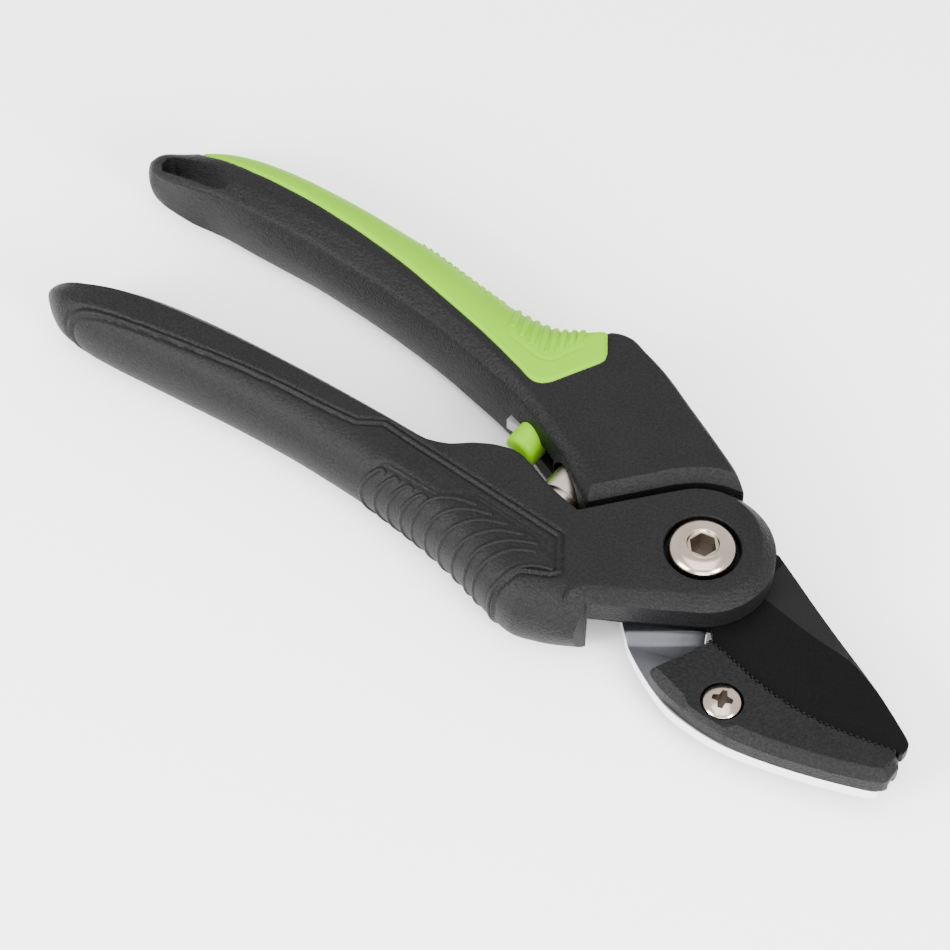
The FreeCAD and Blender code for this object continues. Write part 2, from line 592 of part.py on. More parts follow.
def make_lock_detent_spring():
    low = MID_Z - SLIDE_THICK / 2.0
    front = SLIDE_BACK_Y + DETENT_GAP
    back = front + DETENT_THICK
    strip = block(SLIDE_FROM_X, SLIDE_TO_X + LOCK_TRAVEL, front, back, low, low + SLIDE_THICK)
    bump = Part.makeCylinder(DETENT_BUMP_RADIUS, SLIDE_THICK, V(DETENT_BUMP_X, front + DETENT_THICK / 2.0, low))
    keep = block(SLIDE_FROM_X, SLIDE_TO_X, SLIDE_BACK_Y + CHANNEL_FIT, back, 0.0, HANDLE_THICK)
    return strip.fuse(bump.common(keep)).removeSplitter()


def lower_shell():
    """The lower handle's full shape with its boss, open under the boss."""
    body = handle_body(LOWER_STATIONS)
    body = body.cut(rod(2.0 * CAVITY_RADIUS, -CUT_OVERSHOOT, BOSS_BOTTOM_Z))
    boss = prism(boss_outline(), BOSS_BOTTOM_Z, HANDLE_THICK)
    near = (round_point(BOSS_CENTRE, BOSS_RADIUS, 0.0), round_point(BOSS_CENTRE, BOSS_RADIUS, BOSS_RIM_TURN),
            BOSS_FLANK_SPOT)
    boss = chamfer_top(boss, HANDLE_THICK, near, BOSS_CHAMFER_WIDE, BOSS_CHAMFER_HIGH)
    return body.fuse(boss)


def make_lower_handle_core():
    core = lower_shell()
    core = core.cut(grip_prism(LOWER_GRIP_EDGE, LOWER_GRIP_ARROW, -FAR_SIDE_Y))
    core = core.fuse(spine_prism(LOWER_STATIONS, LOWER_GRIP_EDGE, -1))
    core = core.cut(rod(HEAD_RECESS_DIA, BOLT_SEAT_Z, HANDLE_THICK + CUT_OVERSHOOT))
    flange_low = BOLT_SEAT_Z - BUSH_FLANGE_THICK - FACE_GAP
    core = core.cut(rod(BUSH_FLANGE_DIA, flange_low, HANDLE_THICK))
    core = core.cut(rod(BUSH_DIA, 0.0, HANDLE_THICK))
    core = core.cut(prism(blade_outline(), BLADE_BOTTOM_Z, BLADE_BOTTOM_Z + BLADE_THICK))
    core = core.cut(lock_recess())
    core = core.cut(spring_pocket(SPRING_LOW_Y, LOWER_SEAT_TO_Y))
    return core.cut(rod(CATCH_DIA, MID_Z - CATCH_LENGTH / 2, MID_Z + CATCH_LENGTH / 2, CATCH_AT))


def make_lower_grip():
    grip = lower_shell().common(grip_prism(LOWER_GRIP_EDGE, LOWER_GRIP_ARROW, -FAR_SIDE_Y))
    grip = grip.cut(spine_prism(LOWER_STATIONS, LOWER_GRIP_EDGE, -1))
    return grip.cut(prism(blade_outline(), BLADE_BOTTOM_Z, BLADE_BOTTOM_Z + BLADE_THICK))


def make_blade():
    blade = prism(blade_outline(), BLADE_BOTTOM_Z, BLADE_BOTTOM_Z + BLADE_THICK)
    return blade.cut(rod(BUSH_DIA, 0.0, HANDLE_THICK))


def make_pivot_bush():
    high = BOLT_SEAT_Z - FACE_GAP
    bush = rod(BUSH_DIA, BLADE_BOTTOM_Z, high).fuse(rod(BUSH_FLANGE_DIA, high - BUSH_FLANGE_THICK, high))
    bush = bush.removeSplitter()
    return bush.cut(rod(BOLT_DIA + 2.0 * RUNNING_CLEARANCE, 0.0, HANDLE_THICK))


def make_lock_catch_pin():
    return rod(CATCH_DIA, MID_Z - CATCH_LENGTH / 2, MID_Z + CATCH_LENGTH / 2, CATCH_AT)


PIECES = {
    "upper_handle_core": make_upper_handle_core,
    "upper_grip": make_upper_grip,
    "anvil_arm": make_anvil_arm,
    "anvil_pad": make_anvil_pad,
    "anvil_screw": make_anvil_screw,
    "pivot_bolt": make_pivot_bolt,
    "blade_washer": make_blade_washer,
    "nut_washer": make_nut_washer,
    "pivot_nut": make_pivot_nut,
    "return_spring": make_return_spring,
    "upper_spring_stud": make_upper_spring_stud,
    "lock_button": make_lock_button,
    "lock_slide": make_lock_slide,
    "lock_rivet": make_lock_rivet,
    "lock_detent_spring": make_lock_detent_spring,
    "lower_handle_core": make_lower_handle_core,
    "lower_grip": make_lower_grip,
    "blade": make_blade,
    "pivot_bush": make_pivot_bush,
    "lock_catch_pin": make_lock_catch_pin,
    "lower_spring_stud": make_lower_spring_stud,
}


def main():
    os.makedirs("parts", exist_ok=True)
    for name, make in PIECES.items():
        shape = make()
        box = shape.BoundBox
        print(name, shape.ShapeType, "solids", len(shape.Solids), "valid", shape.isValid(),
              "volume", round(shape.Volume), "box", [round(v, 1) for v in (box.XMin, box.XMax, box.YMin,
                                                                          box.YMax, box.ZMin, box.ZMax)])
        shape.exportStep("parts/" + name + ".step")


main()
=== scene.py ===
"""Anvil pruning shears: the finished look of every piece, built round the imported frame."""
import logging
import math
from dataclasses import dataclass, field
from enum import Enum
from typing import Callable, Iterable, Sequence

import bmesh
import bpy
import numpy as np
from mathutils import Euler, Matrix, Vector


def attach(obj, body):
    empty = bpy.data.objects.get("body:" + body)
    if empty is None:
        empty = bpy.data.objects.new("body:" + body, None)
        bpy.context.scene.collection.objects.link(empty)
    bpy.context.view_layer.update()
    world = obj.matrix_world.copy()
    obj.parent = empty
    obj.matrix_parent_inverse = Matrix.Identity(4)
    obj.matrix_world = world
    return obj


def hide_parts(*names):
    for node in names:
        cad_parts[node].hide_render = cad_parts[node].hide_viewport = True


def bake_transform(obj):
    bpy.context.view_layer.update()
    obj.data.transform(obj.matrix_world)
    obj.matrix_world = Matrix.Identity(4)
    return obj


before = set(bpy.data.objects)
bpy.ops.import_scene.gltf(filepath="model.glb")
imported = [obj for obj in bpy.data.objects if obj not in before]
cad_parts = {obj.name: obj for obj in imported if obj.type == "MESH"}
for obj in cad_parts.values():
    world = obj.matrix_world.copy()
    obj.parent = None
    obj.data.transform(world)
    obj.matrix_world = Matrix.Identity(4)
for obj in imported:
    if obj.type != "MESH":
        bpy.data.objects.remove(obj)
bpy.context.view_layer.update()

logging.basicConfig(level=logging.INFO, format="%(message)s")
LOG = logging.getLogger("shears")

MM = 0.001
MID_Z = 10.0
TOP_Z = 20.0
CAVITY_RADIUS = 26.0
BOSS_BOTTOM_Z = 12.5
CUT_LOW_Z = -2.0
CUT_HIGH_Z = 22.0

Points = Sequence[tuple[float, float]]


class Body(Enum):
    """The rigid bodies of the shears."""

    ANVIL = "anvil_lever"
    BLADE = "blade_lever"
    LOCK = "lock_slider"


class Cut(Enum):
    """What a cutter does to a solid."""

    REMOVE = "DIFFERENCE"
    KEEP = "INTERSECT"
    ADD = "UNION"


# ---------------------------------------------------------------------------
# Finishes
# ---------------------------------------------------------------------------

class NodeTree:
    """A small helper that builds one material's nodes."""

    def __init__(self, name: str) -> None:
        """Makes an empty node material.

        Args:
            name: the material's name.
        """
        self.material = bpy.data.materials.new(name)
        self.material.use_nodes = True
        self.nodes = self.material.node_tree.nodes
        self.links = self.material.node_tree.links
        self.nodes.clear()
        self.output = self.add("ShaderNodeOutputMaterial")
        self.shader = self.add("ShaderNodeBsdfPrincipled")
        self.links.new(self.shader.outputs[0], self.output.inputs[0])
        self.coords = self.add("ShaderNodeTexCoord")

    def add(self, kind: str, **values: object) -> bpy.types.Node:
        """Adds a node.

        Args:
            kind: the node's type name.
            values: node attributes to set.

        Returns:
            The new node.
        """
        node = self.nodes.new(kind)
        for key, value in values.items():
            setattr(node, key, value)
        return node

    def noise(self, scale: float, detail: float = 3.0,
              stretch: tuple[float, float, float] = (1, 1, 1)) -> object:
        """A noise pattern in object space.

        Args:
            scale: noise scale per metre.
            detail: octaves.
            stretch: scale along each axis before the noise.

        Returns:
            The noise value socket.
        """
        mapping = self.add("ShaderNodeMapping")
        mapping.inputs["Scale"].default_value = stretch
        self.links.new(self.coords.outputs["Object"], mapping.inputs["Vector"])
        node = self.add("ShaderNodeTexNoise")
        node.inputs["Scale"].default_value = scale
        node.inputs["Detail"].default_value = detail
        self.links.new(mapping.outputs[0], node.inputs["Vector"])
        return node.outputs[0]

    def ramp(self, value: object, stops: Sequence[tuple[float, tuple[float, ...]]]) -> object:
        """A colour ramp over a value.

        Args:
            value: the driving socket.
            stops: position and colour of each stop.

        Returns:
            The colour socket.
        """
        node = self.add("ShaderNodeValToRGB")
        elements = node.color_ramp.elements
        while len(elements) < len(stops):
            elements.new(0.5)
        for element, (place, colour) in zip(elements, stops):
            element.position = place
            element.color = tuple(colour) + (1.0,) * (4 - len(colour))
        self.links.new(value, node.inputs[0])
        return node.outputs[0]

    def spread(self, value: object, low: float, high: float) -> object:
        """Maps 0..1 to a range.

        Args:
            value: the driving socket.
            low: result at 0.
            high: result at 1.

        Returns:
            The mapped value socket.
        """
        node = self.add("ShaderNodeMapRange")
        node.inputs["To Min"].default_value = low
        node.inputs["To Max"].default_value = high
        self.links.new(value, node.inputs["Value"])
        return node.outputs[0]

    def bump(self, value: object, depth_mm: float, strength: float = 1.0,
             under: object = None) -> object:
        """A bump from a value.

        Args:
            value: the height socket.
            depth_mm: height of the pattern.
            strength: how strongly it acts.
            under: a normal socket to add to.

        Returns:
            The normal socket.
        """
        node = self.add("ShaderNodeBump")
        node.inputs["Strength"].default_value = strength
        node.inputs["Distance"].default_value = depth_mm * MM
        self.links.new(value, node.inputs["Height"])
        if under is not None:
            self.links.new(under, node.inputs["Normal"])
        return node.outputs[0]

    def feed(self, socket: str, value: object) -> None:
        """Links a value to a socket of the shader."""
        self.links.new(value, self.shader.inputs[socket])

    def fix(self, socket: str, value: object) -> None:
        """Sets a socket of the shader to a constant."""
        self.shader.inputs[socket].default_value = value


def tone(colour: Sequence[float], factor: float) -> tuple[float, float, float]:
    """A lighter or darker version of a colour."""
    return tuple(min(1.0, channel * factor) for channel in colour[:3])


@dataclass(frozen=True)
class Moulded:
    """A moulded plastic or soft grip with a spark-eroded grain."""

    name: str
    colour: tuple[float, float, float]
    roughness: float = 0.5
    grain_mm: float = 0.22
    grain_depth_mm: float = 0.03
    mottle: float = 0.08
    specular: float = 0.5

    def build(self) -> bpy.types.Material:
        """Builds the material.

        Returns:
            The node material.
        """
        tree = NodeTree(self.name)
        cloud = tree.noise(90.0, 4.0)
        tree.feed("Base Color", tree.ramp(cloud, [
            (0.3, tone(self.colour, 1.0 - self.mottle)),
            (0.7, tone(self.colour, 1.0 + self.mottle))]))
        grain = tree.noise(1.0 / (self.grain_mm * MM), 2.0)
        tree.feed("Roughness", tree.spread(grain, self.roughness - 0.06, self.roughness + 0.08))
        tree.feed("Normal", tree.bump(grain, self.grain_depth_mm))
        tree.feed("Specular IOR Level",
                  tree.spread(grain, self.specular * 0.15, self.specular * 1.85))
        return tree.material


@dataclass(frozen=True)
class Metal:
    """A metal finish with fine lines along one direction."""

    name: str
    colour: tuple[float, float, float]
    roughness: float = 0.25
    line_scale: float = 900.0
    stretch: tuple[float, float, float] = (1.0, 1.0, 1.0)
    line_depth_mm: float = 0.01
    metallic: float = 1.0
    stain: float = 0.1

    def build(self) -> bpy.types.Material:
        """Builds the material.

        Returns:
            The node material.
        """
        tree = NodeTree(self.name)
        cloud = tree.noise(160.0, 5.0)
        tree.feed("Base Color", tree.ramp(cloud, [
            (0.3, tone(self.colour, 1.0 - self.stain)), (0.7, self.colour)]))
        lines = tree.noise(self.line_scale, 3.0, self.stretch)
        tree.feed("Roughness", tree.spread(lines, self.roughness - 0.05, self.roughness + 0.1))
        tree.feed("Normal", tree.bump(lines, self.line_depth_mm, 0.5))
        tree.fix("Metallic", self.metallic)
        return tree.material


@dataclass
class Finishes:
    """Every finish on the shears, built once."""

    made: dict[str, bpy.types.Material] = field(default_factory=dict)

    def build(self) -> None:
        """Builds all the materials."""
        finishes = [
            Moulded("black_nylon", (0.0040, 0.0040, 0.0043), 0.47, 0.50, 0.24, 0.10, 0.12),
            Moulded("pad_nylon", (0.0036, 0.0036, 0.0039), 0.47, 0.46, 0.20, 0.12, 0.12),
            Moulded("black_soft_grip", (0.0046, 0.0046, 0.0049), 0.50, 0.46, 0.16, 0.06, 0.11),
            Moulded("green_soft_grip", (0.128, 0.320, 0.0005), 0.42, 0.35, 0.010, 0.03, 0.06),
            Moulded("green_plastic", (0.155, 0.380, 0.0005), 0.30, 0.40, 0.006, 0.03, 0.08),
            Moulded("blade_coating", (0.0018, 0.0018, 0.0020), 0.44, 0.20, 0.010, 0.10, 0.055),
            # spine facet coating: its lighter colour is a painted highlight for the light it
            # catches; its higher specular is the finish's own
            Moulded("blade_facet_painted_highlight", (0.0040, 0.0040, 0.0043), 0.46, 0.16, 0.020, 0.10,
                    0.11),
            # near-black steel for the arm's flat faces: a painted dark reflection of the
            # surroundings the bare steel mirrors
            Metal("arm_face_painted_reflection_steel", (0.078, 0.079, 0.087), 0.36, 900.0, (1.0, 0.06, 1.0), 0.04),
            Metal("arm_edge_steel", (0.86, 0.86, 0.87), 0.33, 500.0, (0.2, 0.2, 3.0), 0.01, 0.85,
                  0.05),
            Metal("nickel_plate", (0.40, 0.335, 0.27), 0.17, 300.0, (1.0, 1.0, 1.0), 0.006, 1.0,
                  0.30),
            # much darker nickel used as painted shade inside the driver recesses
            Metal("recess_shade_nickel", (0.075, 0.064, 0.054), 0.24, 300.0, (1.0, 1.0, 1.0), 0.004, 1.0,
                  0.25),
            Metal("spring_steel", (0.50, 0.45, 0.40), 0.27, 900.0, (1.0, 0.1, 1.0), 0.006),
            Metal("zinc_plate", (0.55, 0.55, 0.56), 0.32, 800.0, (1.0, 1.0, 1.0), 0.006),
        ]
        for finish in finishes:
            self.made[finish.name] = finish.build()

    def __getitem__(self, name: str) -> bpy.types.Material:
        """The material of that name."""
        return self.made[name]


FINISHES = Finishes()


# ---------------------------------------------------------------------------
# Mesh helpers, in millimetres
# ---------------------------------------------------------------------------

class Run:
    """A smooth run of one value along X, through given stations (monotone cubic)."""

    def __init__(self, stations: Points) -> None:
        """Prepares the slopes.

        Args:
            stations: pairs of x and value.
        """
        pairs = sorted(stations)
        self.x = np.array([p[0] for p in pairs], float)
        self.y = np.array([p[1] for p in pairs], float)
        step = np.diff(self.x)
        rise = np.diff(self.y) / step
        slope = np.zeros_like(self.y)
        slope[0], slope[-1] = rise[0], rise[-1]
        for i in range(1, len(rise)):
            if rise[i - 1] * rise[i] > 0.0:
                a, b = 2 * step[i] + step[i - 1], step[i] + 2 * step[i - 1]
                slope[i] = (a + b) / (a / rise[i - 1] + b / rise[i])
        self.slope = slope

    def __call__(self, x: np.ndarray | float) -> np.ndarray:
        """The value at x, held constant past the ends."""
        at = np.clip(np.asarray(x, float), self.x[0], self.x[-1])
        i = np.clip(np.searchsorted(self.x, at) - 1, 0, len(self.x) - 2)
        h = self.x[i + 1] - self.x[i]
        t = (at - self.x[i]) / h
        return ((2 * t**3 - 3 * t**2 + 1) * self.y[i] + (t**3 - 2 * t**2 + t) * h * self.slope[i]
                + (-2 * t**3 + 3 * t**2) * self.y[i + 1] + (t**3 - t**2) * h * self.slope[i + 1])


def smooth_path(points: Points, step: float = 0.5) -> np.ndarray:
    """A smooth plan path through points (centripetal Catmull-Rom).

    Args:
        points: plan points.
        step: wanted spacing.

    Returns:
        The path's points.
    """
    p = np.array(points, float)
    p = np.vstack([2 * p[0] - p[1], p, 2 * p[-1] - p[-2]])
    out = []
    for i in range(1, len(p) - 2):
        count = max(2, int(np.linalg.norm(p[i + 1] - p[i]) / step))
        for t in np.arange(count) / count:
            out.append(0.5 * (2 * p[i] + (p[i + 1] - p[i - 1]) * t
                              + (2 * p[i - 1] - 5 * p[i] + 4 * p[i + 1] - p[i + 2]) * t**2
                              + (3 * p[i] - p[i - 1] - 3 * p[i + 1] + p[i + 2]) * t**3))
    out.append(p[-2])
    return np.array(out)


def straight_path(points: Points, step: float = 0.5) -> np.ndarray:
    """A plan path of straight runs, divided evenly.

    Args:
        points: the corners.
        step: wanted spacing.

    Returns:
        The path's points.
    """
    out = []
    for a, b in zip(points, points[1:]):
        a, b = np.array(a, float), np.array(b, float)
        count = max(1, int(np.linalg.norm(b - a) / step))
        out.extend(a + (b - a) * t for t in np.arange(count) / count)
    out.append(np.array(points[-1], float))
    return np.array(out)


def resample(path: np.ndarray, count: int) -> np.ndarray:
    """The same path with a given number of points.

    Args:
        path: plan points.
        count: how many are wanted.

    Returns:
        The new points.
    """
    old = np.linspace(0.0, 1.0, len(path))
    new = np.linspace(0.0, 1.0, count)
    return np.stack([np.interp(new, old, path[:, axis]) for axis in (0, 1)], axis=1)


def arc_path(centre: tuple[float, float], radius: float, start: float, end: float,
             count: int = 48) -> np.ndarray:
    """Plan points on an arc, angles in degrees."""
    turn = np.radians(np.linspace(start, end, count))
    return np.stack([centre[0] + radius * np.cos(turn), centre[1] + radius * np.sin(turn)], axis=1)


def make_object(name: str, vertices: np.ndarray, faces: Iterable[Sequence[int]],
                outward: bool = True) -> bpy.types.Object:
    """Makes a mesh object from millimetre vertices.

    Args:
        name: the piece's name.
        vertices: one row for each vertex.
        faces: vertex numbers of each face.
        outward: whether face directions are worked out afresh.

    Returns:
        The new object, at the origin.
    """
    mesh = bpy.data.meshes.new(name)
    mesh.from_pydata((np.asarray(vertices, float) * MM).tolist(), [],
                     [list(map(int, f)) for f in faces])
    obj = bpy.data.objects.new(name, mesh)
    bpy.context.scene.collection.objects.link(obj)
    if outward:
        face_out(obj)
    return obj


def face_out(obj: bpy.types.Object, merge_mm: float = 0.0005) -> None:
    """Merges doubles and turns every face outwards.

    Args:
        obj: the object.
        merge_mm: the merging distance.
    """
    mesh = bmesh.new()
    mesh.from_mesh(obj.data)
    bmesh.ops.remove_doubles(mesh, verts=mesh.verts, dist=merge_mm * MM)
    bmesh.ops.recalc_face_normals(mesh, faces=mesh.faces)
    mesh.to_mesh(obj.data)
    mesh.free()


def ring_faces(rings: int, count: int) -> list[tuple[int, ...]]:
    """Faces of a closed tube of rings, with flat ends."""
    faces = []
    for r in range(rings - 1):
        for i in range(count):
            j = (i + 1) % count
            faces.append((r * count + i, r * count + j, (r + 1) * count + j, (r + 1) * count + i))
    faces.append(tuple(range(count)))
    faces.append(tuple(range((rings - 1) * count, rings * count)))
    return faces


def rings_solid(name: str, rings: Sequence[np.ndarray]) -> bpy.types.Object:
    """A closed solid through rings of equal point count.

    Args:
        name: the piece's name.
        rings: the rings, each an array of points.

    Returns:
        The new object.
    """
    return make_object(name, np.vstack(rings), ring_faces(len(rings), len(rings[0])))


def level(outline: np.ndarray, z: float) -> np.ndarray:
    """A plan outline at one height."""
    return np.column_stack([outline, np.full(len(outline), z)])


def plan_normals(outline: np.ndarray) -> np.ndarray:
    """Outward unit normals of a closed plan outline."""
    ahead = np.roll(outline, -1, axis=0) - outline
    behind = outline - np.roll(outline, 1, axis=0)
    ahead /= np.linalg.norm(ahead, axis=1)[:, None] + 1e-12
    behind /= np.linalg.norm(behind, axis=1)[:, None] + 1e-12
    tangent = ahead + behind
    tangent /= np.linalg.norm(tangent, axis=1)[:, None] + 1e-12
    normal = np.stack([tangent[:, 1], -tangent[:, 0]], axis=1)
    area = np.sum(outline[:, 0] * np.roll(outline[:, 1], -1) - np.roll(outline[:, 0], -1)
                  * outline[:, 1])
    return normal if area > 0 else -normal


def inset(outline: np.ndarray, wide: np.ndarray | float) -> np.ndarray:
    """A closed outline moved inwards by a width that may vary."""
    return outline - plan_normals(outline) * np.reshape(np.broadcast_to(wide, len(outline)),
                                                        (-1, 1))


def plate(name: str, outline: np.ndarray, low: float, high: float, wide: np.ndarray | float = 0.0,
          deep: float = 0.0, foot: float = 0.0) -> bpy.types.Object:
    """A flat plate with a bevelled top edge and a small bevel below.

    Args:
        name: the piece's name.
        outline: closed plan outline.
        low: underside height.
        high: top height.
        wide: bevel width at the top, one number or one for each point.
        deep: bevel height at the top.
        foot: bevel at the bottom edge.

    Returns:
        The plate.
    """
    rings = []
    if foot > 0.0:
        rings.append(level(inset(outline, foot), low))
    rings.append(level(outline, low + foot))
    if deep > 0.0:
        top = inset(outline, wide)
        rings.append(level(outline, high - deep))
        soft = 0.12
        rings.append(level(outline + (top - outline) * soft,
                           high - deep * (1 - soft) + deep * 0.06))
        rings.append(level(outline + (top - outline) * (1 - soft), high - deep * soft * 0.6))
    else:
        top = outline
    rings.append(level(top, high))
    return rings_solid(name, rings)


def lathe(name: str, profile: Points, at: tuple[float, float] = (0.0, 0.0),
          steps: int = 96) -> bpy.types.Object:
    """A turned piece about an upright axis.

    Args:
        name: the piece's name.
        profile: radius and height pairs, from one pole to the other.
        at: plan place of the axis.
        steps: points round the axis.

    Returns:
        The turned solid.
    """
    turn = np.linspace(0, 2 * np.pi, steps, endpoint=False)
    rings = [np.column_stack([at[0] + max(r, 0.02) * np.cos(turn),
                              at[1] + max(r, 0.02) * np.sin(turn),
                              np.full(steps, z)]) for r, z in profile]
    return rings_solid(name, rings)


def combine(target: bpy.types.Object, cutter: bpy.types.Object, cut: Cut,
            keep_cutter: bool = False) -> bpy.types.Object:
    """Cuts, keeps or adds one solid with another.

    Args:
        target: the solid that changes.
        cutter: the other solid.
        cut: what is done.
        keep_cutter: whether the cutter is used again.

    Returns:
        The target.
    """
    modifier = target.modifiers.new("cut", "BOOLEAN")
    modifier.operation = cut.value
    modifier.solver = "MANIFOLD"
    modifier.object = cutter
    graph = bpy.context.evaluated_depsgraph_get()
    mesh = bpy.data.meshes.new_from_object(target.evaluated_get(graph))
    target.modifiers.clear()
    old = target.data
    target.data = mesh
    bpy.data.meshes.remove(old)
    mesh.name = target.name
    if not keep_cutter:
        bpy.data.objects.remove(cutter)
    if len(mesh.polygons) == 0:
        LOG.warning("%s is empty after %s", target.name, cut.value)
    return target


def duplicate(obj: bpy.types.Object, name: str) -> bpy.types.Object:
    """A separate copy of an object."""
    copy = bpy.data.objects.new(name, obj.data.copy())
    bpy.context.scene.collection.objects.link(copy)
    return copy


def soften(obj: bpy.types.Object, angle: float = 35.0) -> None:
    """Smooth shading with creases sharper than an angle kept."""
    mesh = obj.data
    mesh.polygons.foreach_set("use_smooth", [True] * len(mesh.polygons))
    mesh.set_sharp_from_angle(angle=math.radians(angle))


def finish_piece(obj: bpy.types.Object, material: str, body: Body,
                 replaces: Sequence[str] = (),
                 angle: float = 35.0) -> bpy.types.Object:
    """Dresses a piece and hands it to its body.

    Args:
        obj: the piece.
        material: the finish's name.
        body: the body it rides on.
        replaces: CAD nodes that it stands for.
        angle: crease angle for the shading.

    Returns:
        The piece.
    """
    if not any(obj.data.materials):
        obj.data.materials.clear()
        obj.data.materials.append(FINISHES[material])
    soften(obj, angle)
    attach(obj, body.value)
    if replaces:
        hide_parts(*replaces)
    LOG.info("%s: %d faces on %s", obj.name, len(obj.data.polygons), body.value)
    return obj


# ---------------------------------------------------------------------------
# Geometry Nodes
# ---------------------------------------------------------------------------

class Repeater:
    """Builds Geometry Nodes trees for pieces that repeat or follow a path."""

    @staticmethod
    def _tree(name: str, inputs: Sequence[tuple[str, str, object]]) -> tuple[bpy.types.NodeTree,
                                                                             object, object]:
        """Starts a tree with named inputs.

        Args:
            name: the tree's name.
            inputs: name, socket type and default of each input.

        Returns:
            The tree, its input node and its output node.
        """
        tree = bpy.data.node_groups.new(name, "GeometryNodeTree")
        tree.interface.new_socket("Geometry", in_out="INPUT", socket_type="NodeSocketGeometry")
        for label, kind, default in inputs:
            socket = tree.interface.new_socket(label, in_out="INPUT", socket_type=kind)
            if default is not None:
                socket.default_value = default
        tree.interface.new_socket("Geometry", in_out="OUTPUT", socket_type="NodeSocketGeometry")
        return tree, tree.nodes.new("NodeGroupInput"), tree.nodes.new("NodeGroupOutput")

    @staticmethod
    def _apply(obj: bpy.types.Object, tree: bpy.types.NodeTree,
               values: dict[str, object]) -> bpy.types.Object:
        """Runs a tree on an object and keeps the plain mesh.

        Args:
            obj: the object with the guide lines.
            tree: the tree.
            values: input name to value.

        Returns:
            The object with its finished mesh.
        """
        modifier = obj.modifiers.new("nodes", "NODES")
        modifier.node_group = tree
        for item in tree.interface.items_tree:
            if item.item_type == "SOCKET" and item.in_out == "INPUT" and item.name in values:
                modifier[item.identifier] = values[item.name]
        graph = bpy.context.evaluated_depsgraph_get()
        mesh = bpy.data.meshes.new_from_object(obj.evaluated_get(graph))
        obj.modifiers.clear()
        obj.data = mesh
        mesh.name = obj.name
        return obj

    @classmethod
    def ridges(cls, name: str, lines: Sequence[np.ndarray], radius_mm: float, material: str
               ) -> bpy.types.Object:
        """Round ridges along guide lines.

        Args:
            name: the piece's name.
            lines: the guide lines, points in millimetres.
            radius_mm: ridge radius.
            material: finish name.

        Returns:
            One mesh of all the ridges.
        """
        vertices, edges = [], []
        for line in lines:
            start = len(vertices)
            vertices.extend((np.asarray(line) * MM).tolist())
            edges.extend((start + i, start + i + 1) for i in range(len(line) - 1))
        mesh = bpy.data.meshes.new(name)
        mesh.from_pydata(vertices, edges, [])
        obj = bpy.data.objects.new(name, mesh)
        bpy.context.scene.collection.objects.link(obj)
        tree, source, sink = cls._tree(name + "_tree", [
            ("Ridge Radius", "NodeSocketFloat", 0.0005), ("Sides", "NodeSocketInt", 10),
            ("Finish", "NodeSocketMaterial", None)])
        to_curve = tree.nodes.new("GeometryNodeMeshToCurve")
        profile = tree.nodes.new("GeometryNodeCurvePrimitiveCircle")
        sweep = tree.nodes.new("GeometryNodeCurveToMesh")
        real = tree.nodes.new("GeometryNodeRealizeInstances")
        paint = tree.nodes.new("GeometryNodeSetMaterial")
        sweep.inputs["Fill Caps"].default_value = True
        link = tree.links.new
        link(source.outputs["Geometry"], to_curve.inputs[0])
        link(source.outputs["Ridge Radius"], profile.inputs["Radius"])
        link(source.outputs["Sides"], profile.inputs["Resolution"])
        link(to_curve.outputs[0], sweep.inputs["Curve"])
        link(profile.outputs[0], sweep.inputs["Profile Curve"])
        link(sweep.outputs[0], real.inputs[0])
        link(real.outputs[0], paint.inputs["Geometry"])
        link(source.outputs["Finish"], paint.inputs["Material"])
        link(paint.outputs[0], sink.inputs[0])
        return cls._apply(obj, tree,
                          {"Ridge Radius": radius_mm * MM, "Sides": 10,
                           "Finish": FINISHES[material]})

    @classmethod
    def studs(cls, name: str, line: np.ndarray, pitch_mm: float, radius_mm: float, height_mm: float,
              material: str) -> bpy.types.Object:
        """Short upright round studs at an even pitch along a line.

        Args:
            name: the piece's name.
            line: the guide line, in millimetres.
            pitch_mm: distance between studs.
            radius_mm: stud radius.
            height_mm: stud height, centred on the line.
            material: finish name.

        Returns:
            One mesh of all the studs.
        """
        mesh = bpy.data.meshes.new(name)
        mesh.from_pydata((np.asarray(line) * MM).tolist(),
                         [(i, i + 1) for i in range(len(line) - 1)], [])
        obj = bpy.data.objects.new(name, mesh)
        bpy.context.scene.collection.objects.link(obj)
        tree, source, sink = cls._tree(name + "_tree", [
            ("Pitch", "NodeSocketFloat", 0.001), ("Stud Radius", "NodeSocketFloat", 0.0004),
            ("Stud Height", "NodeSocketFloat", 0.001), ("Finish", "NodeSocketMaterial", None)])
        to_curve = tree.nodes.new("GeometryNodeMeshToCurve")
        spaced = tree.nodes.new("GeometryNodeResampleCurve")
        spaced.mode = "LENGTH"
        stud = tree.nodes.new("GeometryNodeMeshCylinder")
        stud.inputs["Vertices"].default_value = 12
        place = tree.nodes.new("GeometryNodeInstanceOnPoints")
        real = tree.nodes.new("GeometryNodeRealizeInstances")
        paint = tree.nodes.new("GeometryNodeSetMaterial")
        link = tree.links.new
        link(source.outputs["Geometry"], to_curve.inputs[0])
        link(to_curve.outputs[0], spaced.inputs["Curve"])
        link(source.outputs["Pitch"], spaced.inputs["Length"])
        link(source.outputs["Stud Radius"], stud.inputs["Radius"])
        link(source.outputs["Stud Height"], stud.inputs["Depth"])
        link(spaced.outputs[0], place.inputs["Points"])
        link(stud.outputs["Mesh"], place.inputs["Instance"])
        link(place.outputs[0], real.inputs[0])
        link(real.outputs[0], paint.inputs["Geometry"])
        link(source.outputs["Finish"], paint.inputs["Material"])
        link(paint.outputs[0], sink.inputs[0])
        return cls._apply(obj, tree, {"Pitch": pitch_mm * MM, "Stud Radius": radius_mm * MM,
                                      "Stud Height": height_mm * MM, "Finish": FINISHES[material]})


# ---------------------------------------------------------------------------
# Handles
# ---------------------------------------------------------------------------

